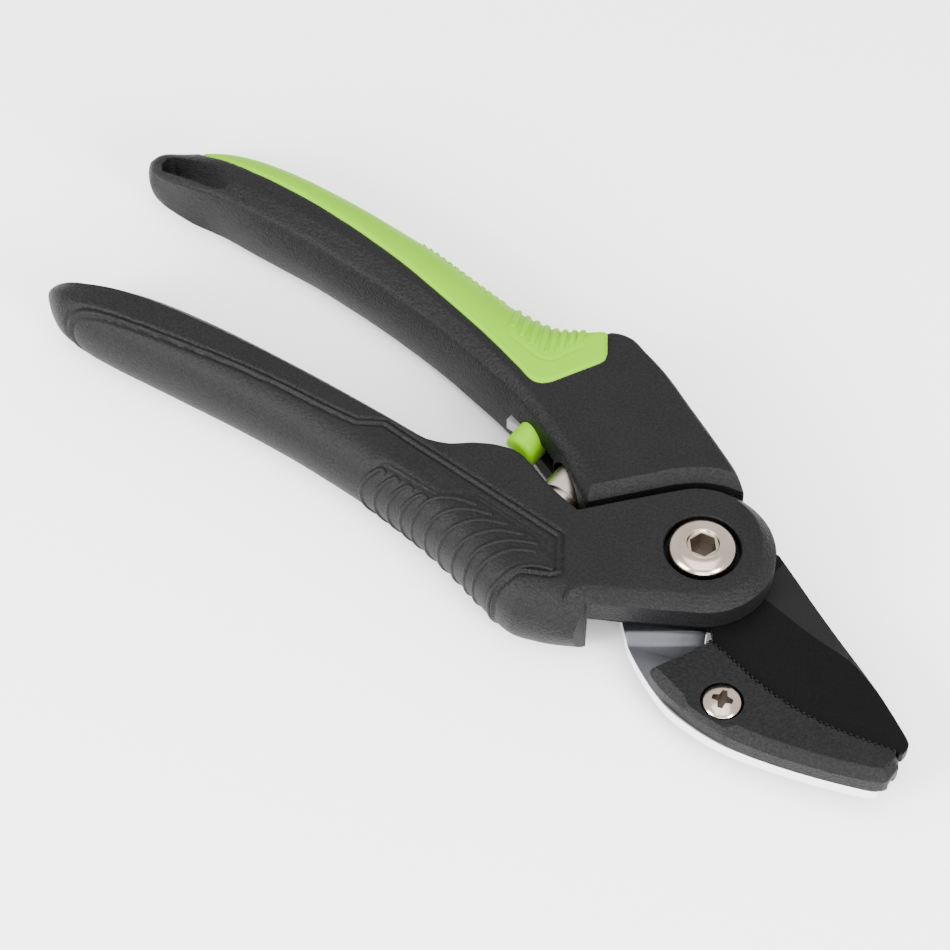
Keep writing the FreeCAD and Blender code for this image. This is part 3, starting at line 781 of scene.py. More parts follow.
@dataclass
class HandleShape:
    """The outer shape of one handle as runs of its section's sizes along X."""

    crown_in: Run
    wall_top: Run
    strip: Run
    shoulder: Run
    crown_out: Run
    half: Run
    drop: Run
    roundness: Run
    x_tail: float
    x_end: float
    end_reach: float = 7.0
    step: float = 0.44
    counts: tuple[int, int, int, int] = (14, 6, 56, 36)

    def end_scale(self, x: float) -> float:
        """How far the section has grown from the rounded tail end."""
        t = min(1.0, max(0.0, (x - self.x_tail) / self.end_reach))
        return max(0.004, (1.0 - (1.0 - t) ** 2.3) ** (1 / 2.3))

    def half_section(self, x: float) -> np.ndarray:
        """The upper half section from the inner to the outer crown.

        Args:
            x: station.

        Returns:
            Rows of y and height above the parting plane.
        """
        a, b, c = float(self.crown_in(x)), float(self.wall_top(x)), float(self.strip(x))
        f, e = float(self.shoulder(x)), float(self.crown_out(x))
        h, d, n = float(self.half(x)), float(self.drop(x)), float(self.roundness(x))
        n0, n1, n2, n3 = self.counts
        t = np.linspace(0, 1, n0, endpoint=False)
        wall_z = h - d
        wall = np.stack([(1 - t) ** 2 * a + 2 * t * (1 - t) * (a + 0.12 * (b - a)) + t**2 * b,
                         2 * t * (1 - t) * 0.62 * wall_z + t**2 * wall_z], axis=1)
        t = np.linspace(0, 1, n1, endpoint=False)
        strip = np.stack([b + (c - b) * t, wall_z + d * t], axis=1)
        t = np.linspace(0, 1, n2, endpoint=False)
        top = np.stack([c + (f - c) * t, np.full(n2, h)], axis=1)
        t = np.linspace(0, np.pi / 2, n3)
        side = np.stack([f + (e - f) * np.sin(t) ** (2 / n), h * np.cos(t) ** (2 / n)], axis=1)
        return np.vstack([wall, strip, top, side])

    def surface_z(self, x: float, y: float) -> float:
        """Height of the top surface over a plan point on the outer side."""
        f, e = float(self.shoulder(x)), float(self.crown_out(x))
        h, n = float(self.half(x)), float(self.roundness(x))
        t = min(1.0, max(0.0, (y - f) / (e - f)))
        return MID_Z + h * (1.0 - t**n) ** (1 / n)

    def stations(self) -> np.ndarray:
        """X of every ring, closer together at the rounded tail."""
        t = np.linspace(0, 1, 26)
        tail = self.x_tail + self.end_reach * (1 - np.cos(t * np.pi / 2))
        count = int((self.x_end - tail[-1]) / self.step)
        return np.concatenate([tail, np.linspace(tail[-1], self.x_end, count + 1)[1:]])

    def build(self, name: str, relief: Callable[[np.ndarray], np.ndarray]) -> bpy.types.Object:
        """The handle's skin with its fine relief.

        Args:
            name: the object's name.
            relief: gives the height of the relief for each surface point.

        Returns:
            The closed handle solid.
        """
        rings = []
        for x in self.stations():
            upper = self.half_section(x)
            lower = upper[-2:0:-1] * np.array([1.0, -1.0])
            ring = np.vstack([upper, lower])
            for _ in range(2):
                ring = 0.5 * ring + 0.25 * (np.roll(ring, 1, axis=0) + np.roll(ring, -1, axis=0))
            scale = self.end_scale(x)
            middle = np.array([(ring[:, 0].max() + ring[:, 0].min()) / 2, 0.0])
            ring = middle + (ring - middle) * scale
            rings.append(np.column_stack([np.full(len(ring), x), ring[:, 0], ring[:, 1] + MID_Z]))
        grid = np.array(rings)
        along = np.gradient(grid, axis=0)
        around = np.roll(grid, -1, axis=1) - np.roll(grid, 1, axis=1)
        normal = np.cross(along, around)
        normal /= np.linalg.norm(normal, axis=2)[:, :, None] + 1e-9
        outward = grid - grid.mean(axis=1)[:, None, :]
        if np.sum(normal * outward) < 0:
            normal = -normal
        grid = grid + normal * relief(grid.reshape(-1, 3)).reshape(grid.shape[:2])[:, :, None]
        return rings_solid(name, list(grid))


def distance_to(points: np.ndarray, path: np.ndarray, chunk: int = 20000) -> np.ndarray:
    """Plan distance from each point to a path.

    Args:
        points: the points.
        path: closely spaced path points.
        chunk: points handled at once.

    Returns:
        One distance for each point.
    """
    out = np.empty(len(points))
    a, b = path[:-1], path[1:]
    run = b - a
    length = np.sum(run**2, axis=1) + 1e-12
    for start in range(0, len(points), chunk):
        p = points[start:start + chunk, None, :2]
        t = np.clip(np.sum((p - a) * run, axis=2) / length, 0, 1)
        near = a + run * t[:, :, None]
        out[start:start + chunk] = np.sqrt(np.min(np.sum((p - near) ** 2, axis=2), axis=1))
    return out


def groove(distance: np.ndarray, centre: float, width: float, depth: float) -> np.ndarray:
    """Height of a round-bottomed groove beside a path."""
    return -depth * np.exp(-(((distance - centre) / width) ** 2))


@dataclass
class UpperHandle:
    """The handle of the anvil lever: core, green grip, hang slot and lock seat."""

    slot_bow: Points = (
        (-156.6, 16.3), (-153.9, 17.2), (-150.6, 18.0), (-147.0, 18.6), (-143.6, 18.6),
        (-141.2, 17.8), (-140.2, 16.2), (-140.9, 14.6), (-143.6, 13.8), (-148.6, 13.0),
        (-153.6, 12.3), (-156.6, 12.0))
    slot_square: Points = ((-156.6, 12.0), (-157.4, 12.8), (-157.6, 15.3), (-156.6, 16.3))
    face_distance: float = 17.6
    face_angle: float = 51.66
    face_arc: float = 17.4
    boss_reach: float = 12.0
    boss_room_tail: float = 60.0
    boss_room_front: float = 4.0
    mouth: Points = ((-53.8, -6), (-39.6, -6), (-39.6, 7.4), (-53.8, 7.4))
    mouth_low: float = 7.4
    mouth_high: float = 12.6
    seat_dia: float = 12.6
    seat_from: float = -12.0
    seat_floor: float = 7.5
    face_bevel_wide: float = 2.6
    face_bevel_deep: float = 2.0
    rib_radius: float = 0.80
    nib_radius: float = 0.50
    panel_ribs: tuple = (
        ((-64.8, 21.9), -70.4), ((-61.6, 21.0), -68.0), ((-58.7, 20.6), -65.6),
        ((-55.8, 20.3), -63.2),
        ((-54.1, 21.3), -60.8), ((-53.0, 23.4), -58.4), ((-52.0, 25.5), -56.0),
        ((-51.2, 27.3), -53.9))
    panel_edge: Points = (
        (-75.0, 26.2), (-70.2, 25.2), (-68.0, 23.9), (-66.0, 21.4), (-63.8, 19.8), (-60.0, 19.2),
        (-56.6, 18.7), (-53.9, 19.0), (-52.3, 20.4), (-50.9, 23.8), (-49.7, 26.8), (-50.0, 28.6),
        (-51.8, 31.4))
    grip_edge: Points = (
        (-154.6, 24.6), (-152.0, 20.9), (-145.6, 21.6), (-139.6, 22.1), (-129.8, 22.8),
        (-119.8, 23.1), (-109.2, 22.8), (-98.5, 22.0), (-89.4, 20.8), (-70.0, 17.3), (-58.0, 14.4),
        (-54.6, 13.4), (-52.6, 13.1), (-50.7, 13.8), (-49.3, 15.3))
    grip_arrow: Points = ((-49.3, 15.3), (-44.3, 25.4), (-43.9, 26.8), (-44.5, 28.4), (-50.4, 36.6),
                          (-51.5, 42.0))

    def shape(self) -> HandleShape:
        """The section runs of this handle."""
        return HandleShape(
            crown_in=Run([(-162.3, 11.6), (-159, 10.6), (-152, 11.2), (-142, 12.6), (-128, 13.2),
                          (-114, 13.6), (-100, 13.5), (-86, 12.9), (-75, 12.0), (-64, 10.2),
                          (-56, 8.5), (-49, 6.6), (-38, 2.6), (-31, -1.6), (-25, -5.5),
                          (-1.8, -10)]),
            wall_top=Run([(-162.3, 12.2), (-155.5, 10.9), (-149, 11.5), (-143, 12.8), (-139, 13.5),
                          (-131.6, 14.1), (-122.9, 14.8), (-113.3, 15.4), (-103, 15.3),
                          (-92.6, 14.8), (-84.3, 14.1), (-76.5, 13.2), (-65.3, 11.3), (-58.6, 10.1),
                          (-52, 8.3), (-47.6, 6.8), (-40.7, 4.1), (-37, 2.6), (-32.3, -0.3),
                          (-27.3, -3.2), (-1.8, -9.7)]),
            strip=Run([(-162.3, 13.0), (-157, 12.9), (-149, 14.3), (-139.7, 17.2), (-121, 18.9),
                       (-107.5, 19.6), (-92.6, 18.7), (-77.2, 16.7), (-60.4, 12.9), (-49.6, 9.6),
                       (-38.6, 5.4), (-30, 1.4), (-25, -2.4), (-1.8, -7)]),
            shoulder=Run([(-162.3, 13.8), (-156.5, 15.6), (-150, 18.2), (-140, 21.0), (-125, 22.4),
                          (-111, 22.4), (-97, 21.9), (-84, 20.6), (-70, 18.6), (-60, 19.5),
                          (-53, 24.6), (-48, 31.2), (-43, 33.6), (-38, 32.2), (-33, 30.3),
                          (-22, 25.0), (-12, 20.4), (-5.5, 17.0), (-1.8, 15.0)]),
            crown_out=Run([(-162.3, 16.4), (-157, 20.4), (-152, 24.4), (-147, 27.4), (-138, 30.0),
                           (-125, 31.7), (-110, 32.5), (-96, 32.5), (-84, 31.5), (-74, 30.6),
                           (-66, 30.2), (-58, 30.9), (-52, 33.0), (-48, 34.6), (-45.5, 35.5),
                           (-43, 35.7), (-38.7, 34.6), (-33, 33.0), (-22, 28.3), (-12, 23.8),
                           (-5.5, 20.6), (-1.8, 17.6)]),
            half=Run([(-162.3, 5.8), (-155, 6.8), (-148, 8.2), (-138, 9.3), (-125, 9.9), (-112, 10),
                      (-1.8, 10)]),
            drop=Run([(-162.3, 1.6), (-140, 1.9), (-120, 2.0), (-1.8, 2.0)]),
            roundness=Run([(-162.3, 2.2), (-80, 2.2), (-60, 2.3), (-50, 3.6), (-44, 4.6),
                           (-1.8, 4.8)]),
            x_tail=-162.3, x_end=-1.8, end_reach=4.0)

    def relief(self) -> Callable[[np.ndarray], np.ndarray]:
        """The groove along the grip's edge."""
        path = np.vstack([smooth_path(self.grip_edge), straight_path(self.grip_arrow)])
        panel = smooth_path(self.panel_edge)

        def height(points: np.ndarray) -> np.ndarray:
            """Relief height at points."""
            upper_side = np.clip((points[:, 2] - MID_Z) / 4.0, 0.0, 1.0)
            line = groove(distance_to(points, panel), 0.0, 0.30, 0.14) * upper_side
            return groove(distance_to(points, path), 0.0, 0.40, 0.45) + line
        return height

    def grip_prism(self) -> bpy.types.Object:
        """The plan region that the grip covers."""
        edge = np.vstack([smooth_path(self.grip_edge)[:-1], straight_path(self.grip_arrow),
                          [(-51.5, 50), (-158, 50)]])
        return plate("grip_region", edge, CUT_LOW_Z, CUT_HIGH_Z)

    def face_cutter(self) -> bpy.types.Object:
        """Clears the room of the pivot boss and bevels the edge round it."""
        turn = math.radians(self.face_angle)
        along = np.array([math.cos(turn), math.sin(turn)])
        normal = np.array([-along[1], along[0]])
        tangent = normal * self.face_distance
        line = np.array([tangent - along * s for s in np.linspace(60, 0, 12)])
        arc = arc_path((0, 0), self.face_arc, 90 + self.face_angle - 1, 40, 40)
        centres = np.vstack([line, arc])
        outwards = np.vstack([np.tile(normal, (len(line), 1)), arc / self.face_arc])
        wide, deep = self.face_bevel_wide, self.face_bevel_deep
        profile = [(-16.9, -2), (0, -2), (0, TOP_Z - deep), (wide * 0.12, TOP_Z - deep + 0.12),
                   (wide, TOP_Z), (wide * 1.3, TOP_Z + 0.3), (wide * 1.3, 24), (-16.9, 24)]
        rings = []
        for centre, out in zip(centres, outwards):
            rings.append(np.array([[*(centre + out * s), z] for s, z in profile]))
        return rings_solid("face_cutter", rings)

    def boss_room(self) -> bpy.types.Object:
        """Clears what is left beyond the pivot."""
        turn = math.radians(self.face_angle)
        along = np.array([math.cos(turn), math.sin(turn)])
        normal = np.array([-along[1], along[0]])
        near, far = normal * self.boss_reach, -normal * 2.0 * self.boss_reach
        tail, front = along * self.boss_room_tail, along * self.boss_room_front
        outline = np.array([near - tail, far - tail, far + front, near + front])
        return plate("boss_room", outline, CUT_LOW_Z, CUT_HIGH_Z)

    def hang_slot(self) -> bpy.types.Object:
        """The through slot near the tail, square behind and rounded in front."""
        corner = straight_path(self.slot_square, 0.6)
        bow = smooth_path(self.slot_bow, 0.4)
        outline = np.vstack([bow[:-1], corner[:-1]])
        return plate("hang_slot", outline, CUT_LOW_Z, CUT_HIGH_Z)

    def seats(self) -> list[bpy.types.Object]:
        """The lock's mouth and the spring's seat."""
        mouth = np.array(self.mouth, float)
        return [plate("lock_mouth", mouth, self.mouth_low, self.mouth_high),
                round_bar("spring_seat", SPRING_AT, self.seat_dia, self.seat_from,
                          self.seat_floor)]

    def ribs(self, shape: HandleShape) -> list[np.ndarray]:
        """Guide lines of the thumb panel's ribs, over the outer side."""
        return [over_the_side(shape, foot, (top_x, 99.0), 0.34) for foot, top_x in self.panel_ribs]

    def nibs(self, shape: HandleShape) -> list[np.ndarray]:
        """Guide lines of the short ribs behind the panel, down the outer side."""
        lines = []
        for x in np.linspace(-97.0, -73.2, 13):
            reach = 1.4 + 2.4 * (x + 97.0) / 24.0
            lines.append(over_the_side(shape, (x + 0.7, float(shape.crown_out(x)) - reach),
                                       (x, 99.0), 0.30))
        return lines

    def build(self) -> None:
        """Builds and dresses the core and the grip."""
        shape = self.shape()
        skin = shape.build("upper_handle", self.relief())
        combine(skin, self.face_cutter(), Cut.REMOVE)
        combine(skin, self.boss_room(), Cut.REMOVE)
        combine(skin, self.hang_slot(), Cut.REMOVE)
        prism = self.grip_prism()
        grip = duplicate(skin, "upper_soft_grip")
        combine(grip, prism, Cut.KEEP, keep_cutter=True)
        combine(skin, prism, Cut.REMOVE)
        skin.name = "upper_core"
        for cutter in self.seats():
            combine(skin, cutter, Cut.REMOVE)
        finish_piece(skin, "black_nylon", Body.ANVIL, ["upper_handle_core"])
        finish_piece(grip, "green_soft_grip", Body.ANVIL, ["upper_grip"])
        ribs = Repeater.ridges("upper_grip_ribs", self.ribs(shape), self.rib_radius,
                               "green_soft_grip")
        finish_piece(ribs, "green_soft_grip", Body.ANVIL, angle=60.0)
        nibs = Repeater.ridges("upper_grip_nibs", self.nibs(shape), self.nib_radius,
                               "green_soft_grip")
        finish_piece(nibs, "green_soft_grip", Body.ANVIL, angle=60.0)


SPRING_AT = (-33.2, MID_Z)


def over_the_side(shape: "HandleShape", foot: tuple[float, float], top: tuple[float, float],
                  sink: float, via: Points = ()) -> np.ndarray:
    """A guide line from a foot on the top face out over the handle's side to the other face.

    Args:
        shape: the handle.
        foot: plan point where the line starts.
        top: x where it crosses the parting plane (its y is taken from the crown).
        sink: how far the line lies under the surface.
        via: plan points in between.

    Returns:
        The line's points.
    """
    crown = (top[0], float(shape.crown_out(top[0])))
    plan = smooth_path([foot, *via, crown], 0.35) if via else None
    if plan is None:
        t = np.linspace(0, 1, 26)
        ease = np.sin(t * np.pi / 2)
        plan = np.stack([foot[0] + (crown[0] - foot[0]) * t, foot[1] + (crown[1] - foot[1]) * ease],
                        axis=1)
    upper = []
    for x, y in plan:
        limit = float(shape.crown_out(x))
        y = min(y, limit - 0.002) if limit > 0 else max(y, limit + 0.002)
        upper.append((x, y, shape.surface_z(x, y)))
    upper = np.array(upper)
    inward = np.stack([np.zeros(len(upper)),
                       np.sign(-crown[1]) * np.clip(1 - (upper[:, 2] - MID_Z) / 9.0, 0, 1),
                       -np.clip((upper[:, 2] - MID_Z) / 9.0, 0, 1)], axis=1)
    upper = upper + inward * sink
    lower = upper[-2::-1] * np.array([1, 1, -1]) + np.array([0, 0, 2 * MID_Z])
    return np.vstack([upper, lower])


def round_bar(name: str, at: tuple[float, float], dia: float, y0: float, y1: float, steps: int = 48
              ) -> bpy.types.Object:
    """A round bar along Y.

    Args:
        name: the object's name.
        at: x and z of its axis.
        dia: diameter.
        y0: one end.
        y1: other end.
        steps: points round it.

    Returns:
        The bar.
    """
    turn = np.linspace(0, 2 * np.pi, steps, endpoint=False)
    radius = dia / 2
    rings = []
    for y in (y0, y1):
        rings.append(np.column_stack([at[0] + radius * np.cos(turn), np.full(steps, y),
                                      at[1] + radius * np.sin(turn)]))
    return rings_solid(name, rings)


@dataclass
class LowerHandle:
    """The handle of the blade lever: core with its boss, and the black grip."""

    boss_centre: tuple[float, float] = (-0.4, 0.5)
    boss_radius: float = 15.0
    boss_bevel_deep: float = 2.1
    boss_bevel_turn: tuple[float, ...] = (-180, -150, -130, -118, 30, 110, 140, 180)
    boss_bevel_wide: tuple[float, ...] = (0.9, 0.9, 3.3, 3.3, 3.3, 1.4, 1.1, 0.9)
    boss_bevel_fade: tuple[float, ...] = (0.85, 0.6, 0.35, 0.1)
    boss_bevel_low: float = 0.3
    flank_angle: float = 51.66
    flank_length: float = 22.6
    rim_end_angle: float = -57.0
    lip_end: tuple[float, float] = (-15.0, -26.65)
    boss_root: Points = ((-16.0, -23.4), (-16.0, -9.0), (-25.8, -9.0))
    bush_radius: float = 5.5
    lock_recess: Points = ((-56.4, -13.4), (-42.6, -13.4), (-42.6, 2.0), (-56.4, 2.0))
    lock_recess_low: float = 7.5
    lock_recess_high: float = 12.5
    pocket_dia: float = 12.2
    pocket_floor: float = -10.8
    pocket_to: float = 4.0
    recess_dia: float = 15.6
    recess_floor: float = 17.0
    rib_radius: float = 0.58
    zone_edge: Points = (
        (-65.4, -24.6), (-64.2, -23.0), (-62.6, -22.4), (-49.8, -22.3), (-43.6, -17.9),
        (-26.6, -18.0), (-25.2, -19.6))
    rib_starts: Points = ((-42.0, -19.4), (-38.1, -19.5), (-34.1, -19.4), (-30.2, -19.4),
                          (-26.6, -19.5), (-25.7, -21.2))
    rib_bends: Points = ((-50.3, -23.3), (-46.5, -24.3), (-42.7, -25.3), (-38.8, -26.0),
                         (-35.5, -26.9), (-32.5, -27.7))
    rib_ends: Points = ((-52.2, -27.2), (-48.3, -27.8), (-44.2, -28.7), (-40.0, -29.5),
                        (-36.0, -30.5), (-33.2, -31.3))
    short_starts: Points = ((-62.4, -23.7), (-58.6, -23.8), (-55.0, -23.8), (-51.3, -23.9))
    grip_edge: Points = (
        (-147.5, -36.5), (-145.6, -33.2), (-142.8, -30.6), (-138.0, -28.9), (-130.0, -27.1),
        (-118.0, -24.7), (-106.0, -22.3), (-94.0, -20.4), (-82.0, -19.1), (-75.0, -18.1))
    grip_arrow: Points = (
        (-75.0, -18.1), (-70.0, -14.7), (-63.0, -14.9), (-24.4, -15.1), (-19.3, -22.2),
        (-20.3, -23.6), (-25.8, -26.6), (-28.2, -31.1), (-28.6, -36.0))

    def shape(self) -> HandleShape:
        """The section runs of this handle."""
        return HandleShape(
            crown_in=Run([(-155.4, -26.2), (-152, -24.0), (-147, -21.3), (-140, -18.2),
                          (-130, -15.2), (-118, -13.0), (-104, -11.5), (-88, -10.4), (-72, -10.0),
                          (-62, -10.2), (-57, -8.6), (-52, -5.0), (-48, -3.0), (-44, -2.3),
                          (-40, -3.2), (-35, -5.0), (-30, -6.2), (-25, -7.0), (-11, -8)]),
            wall_top=Run([(-155.4, -26.6), (-152, -25.0), (-147, -22.9), (-140, -20.2),
                          (-130, -17.6), (-118, -15.8), (-104, -14.2), (-88, -12.9), (-72, -12.2),
                          (-62, -11.9), (-57, -10.2), (-52, -6.3), (-48, -4.0), (-44, -3.0),
                          (-40, -3.8), (-35, -5.5), (-30, -6.6), (-25, -7.3), (-11, -8.3)]),
            strip=Run([(-155.4, -27.0), (-152, -26.0), (-147, -24.5), (-140, -22.0), (-130, -19.6),
                       (-118, -17.8), (-104, -16.0), (-88, -14.6), (-72, -13.6), (-62, -13.0),
                       (-57, -11.3), (-52, -7.3), (-48, -5.0), (-44, -3.9), (-40, -4.7),
                       (-35, -6.4), (-30, -7.4), (-25, -8.0), (-11, -9)]),
            shoulder=Run([(-155.4, -27.4), (-150, -27.6), (-143, -27.0), (-131, -25.4),
                          (-118, -23.2), (-106, -21.2), (-94, -19.6), (-82, -18.6), (-72, -18.4),
                          (-62, -19.4), (-50, -20.6), (-40, -21.6), (-30, -23.6), (-25, -25.6),
                          (-18, -23.4), (-11, -19.2)]),
            crown_out=Run([(-155.4, -28.8), (-152, -30.6), (-147, -31.9), (-141, -32.2),
                           (-134, -31.6), (-125, -30.4), (-112, -28.9), (-100, -27.7), (-84, -26.7),
                           (-68, -26.5), (-58, -27.0), (-50, -27.8), (-42, -29.2), (-34, -31.2),
                           (-28, -32.6), (-24, -32.9), (-19, -31.6), (-14, -29.6), (-11, -28.2)]),
            half=Run([(-155.4, 5.4), (-150, 7.0), (-144, 8.3), (-134, 9.3), (-122, 9.8), (-110, 10),
                      (-11, 10)]),
            drop=Run([(-155.4, 2.4), (-100, 2.4), (-60, 1.6), (-11, 1.2)]),
            roundness=Run([(-155.4, 2.1), (-60, 2.1), (-40, 2.2), (-29, 2.2), (-18, 2.0),
                           (-11, 1.7)]),
            x_tail=-154.9, x_end=-11.0, end_reach=8.0)

    def relief(self) -> Callable[[np.ndarray], np.ndarray]:
        """The double groove along the grip's edge and the crease over the ribs."""
        path = np.vstack([smooth_path(self.grip_edge), straight_path(self.grip_arrow)])
        zone = straight_path(self.zone_edge)

        def height(points: np.ndarray) -> np.ndarray:
            """Relief height at points."""
            gap = distance_to(points, path)
            crease = groove(distance_to(points, zone), 0.45, 0.32, 0.22)
            return groove(gap, 0.75, 0.36, 0.42) + groove(gap, 0.0, 0.34, -0.12) + crease
        return height

    def grip_prism(self) -> bpy.types.Object:
        """The plan region that the grip covers."""
        edge = np.vstack([smooth_path(self.grip_edge)[:-1], straight_path(self.grip_arrow),
                          [(-28.6, -50), (-147.5, -50)]])
        return plate("grip_region", edge, CUT_LOW_Z, CUT_HIGH_Z)

    def boss(self) -> bpy.types.Object:
        """The pivot boss with its bevelled rim."""
        flank = math.radians(self.flank_angle)
        along = np.array([math.cos(flank), math.sin(flank)])
        normal = np.array([-along[1], along[0]])
        centre = np.array(self.boss_centre)
        tangent = centre + normal * self.boss_radius
        far = tangent - along * self.flank_length
        rim = arc_path(self.boss_centre, self.boss_radius, 90 + self.flank_angle,
                       self.rim_end_angle, 110)
        outline = np.vstack([straight_path([tuple(far), tuple(tangent)], 1.0)[:-1], rim,
                             straight_path([tuple(rim[-1]), self.lip_end], 1.0)[1:],
                             self.boss_root])
        angle = np.degrees(np.arctan2(outline[:, 1], outline[:, 0]))
        wide = np.interp(angle, self.boss_bevel_turn, self.boss_bevel_wide)
        root, fade = len(self.boss_root), len(self.boss_bevel_fade)
        wide[-root - fade:-root] *= self.boss_bevel_fade
        wide[-root:] = 0.0
        return plate("pivot_boss", outline[::-1], BOSS_BOTTOM_Z, TOP_Z, wide[::-1],
                     self.boss_bevel_deep, self.boss_bevel_low)

    def ribs(self, shape: HandleShape) -> list[np.ndarray]:
        """Guide lines of the grip's ribs: short hooked ones behind, long swept ones in front."""
        lines = []
        for x, y in self.short_starts:
            via = ((x - 1.5, y + 0.25), (x - 2.9, y - 0.9))
            lines.append(over_the_side(shape, (x, y), (x - 5.0, 0.0), 0.32, via))
        for start, bend, end in zip(self.rib_starts, self.rib_bends, self.rib_ends):
            middle = (start[0] + 0.56 * (bend[0] - start[0]),
                      start[1] + 0.38 * (bend[1] - start[1]))
            lines.append(over_the_side(shape, start, (end[0] - 0.9, 0.0), 0.33, (middle, bend)))
        lines.append(over_the_side(shape, (-20.4, -22.6), (-29.2, 0.0), 0.36,
                                   ((-23.4, -23.7), (-26.2, -26.4))))
        return lines

    def build(self) -> None:
        """Builds and dresses the core and the grip."""
        shape = self.shape()
        skin = shape.build("lower_handle", self.relief())
        combine(skin, lathe("cavity", [(0, -2), (CAVITY_RADIUS, -2), (CAVITY_RADIUS, BOSS_BOTTOM_Z),
                                       (0, BOSS_BOTTOM_Z)]), Cut.REMOVE)
        prism = self.grip_prism()
        grip = duplicate(skin, "lower_soft_grip")
        combine(grip, prism, Cut.KEEP, keep_cutter=True)
        combine(skin, prism, Cut.REMOVE)
        skin.name = "lower_core"
        combine(skin, self.boss(), Cut.ADD)
        radius, mouth = self.recess_dia / 2, self.recess_dia / 2 + 0.35
        combine(skin, lathe("head_recess", [
            (0, self.recess_floor), (radius, self.recess_floor), (radius, TOP_Z - 0.25),
            (mouth, TOP_Z + 0.1), (mouth, CUT_HIGH_Z), (0, CUT_HIGH_Z)]), Cut.REMOVE)
        combine(skin, lathe("bush_hole", [(0, 2), (self.bush_radius, 2), (self.bush_radius, 18),
                                          (0, 18)]), Cut.REMOVE)
        recess = np.array(self.lock_recess, float)
        combine(skin, plate("lock_recess", recess, self.lock_recess_low, self.lock_recess_high),
                Cut.REMOVE)
        combine(skin, round_bar("spring_pocket", SPRING_AT, self.pocket_dia, self.pocket_floor,
                                self.pocket_to), Cut.REMOVE)
        finish_piece(skin, "black_nylon", Body.BLADE, ["lower_handle_core"])
        finish_piece(grip, "black_soft_grip", Body.BLADE, ["lower_grip"])
        ribs = Repeater.ridges("lower_grip_ribs", self.ribs(shape), self.rib_radius,
                               "black_soft_grip")
        finish_piece(ribs, "black_soft_grip", Body.BLADE, angle=60.0)


# ---------------------------------------------------------------------------
# Jaws
# ---------------------------------------------------------------------------

ANVIL_FACE: Points = (
    (12.0, -13.3), (14.5, -13.6), (18.3, -14.3), (24.0, -15.3), (30.0, -15.9), (37.0, -15.7),
    (44.0, -14.6), (49.5, -13.2), (54.2, -12.1))


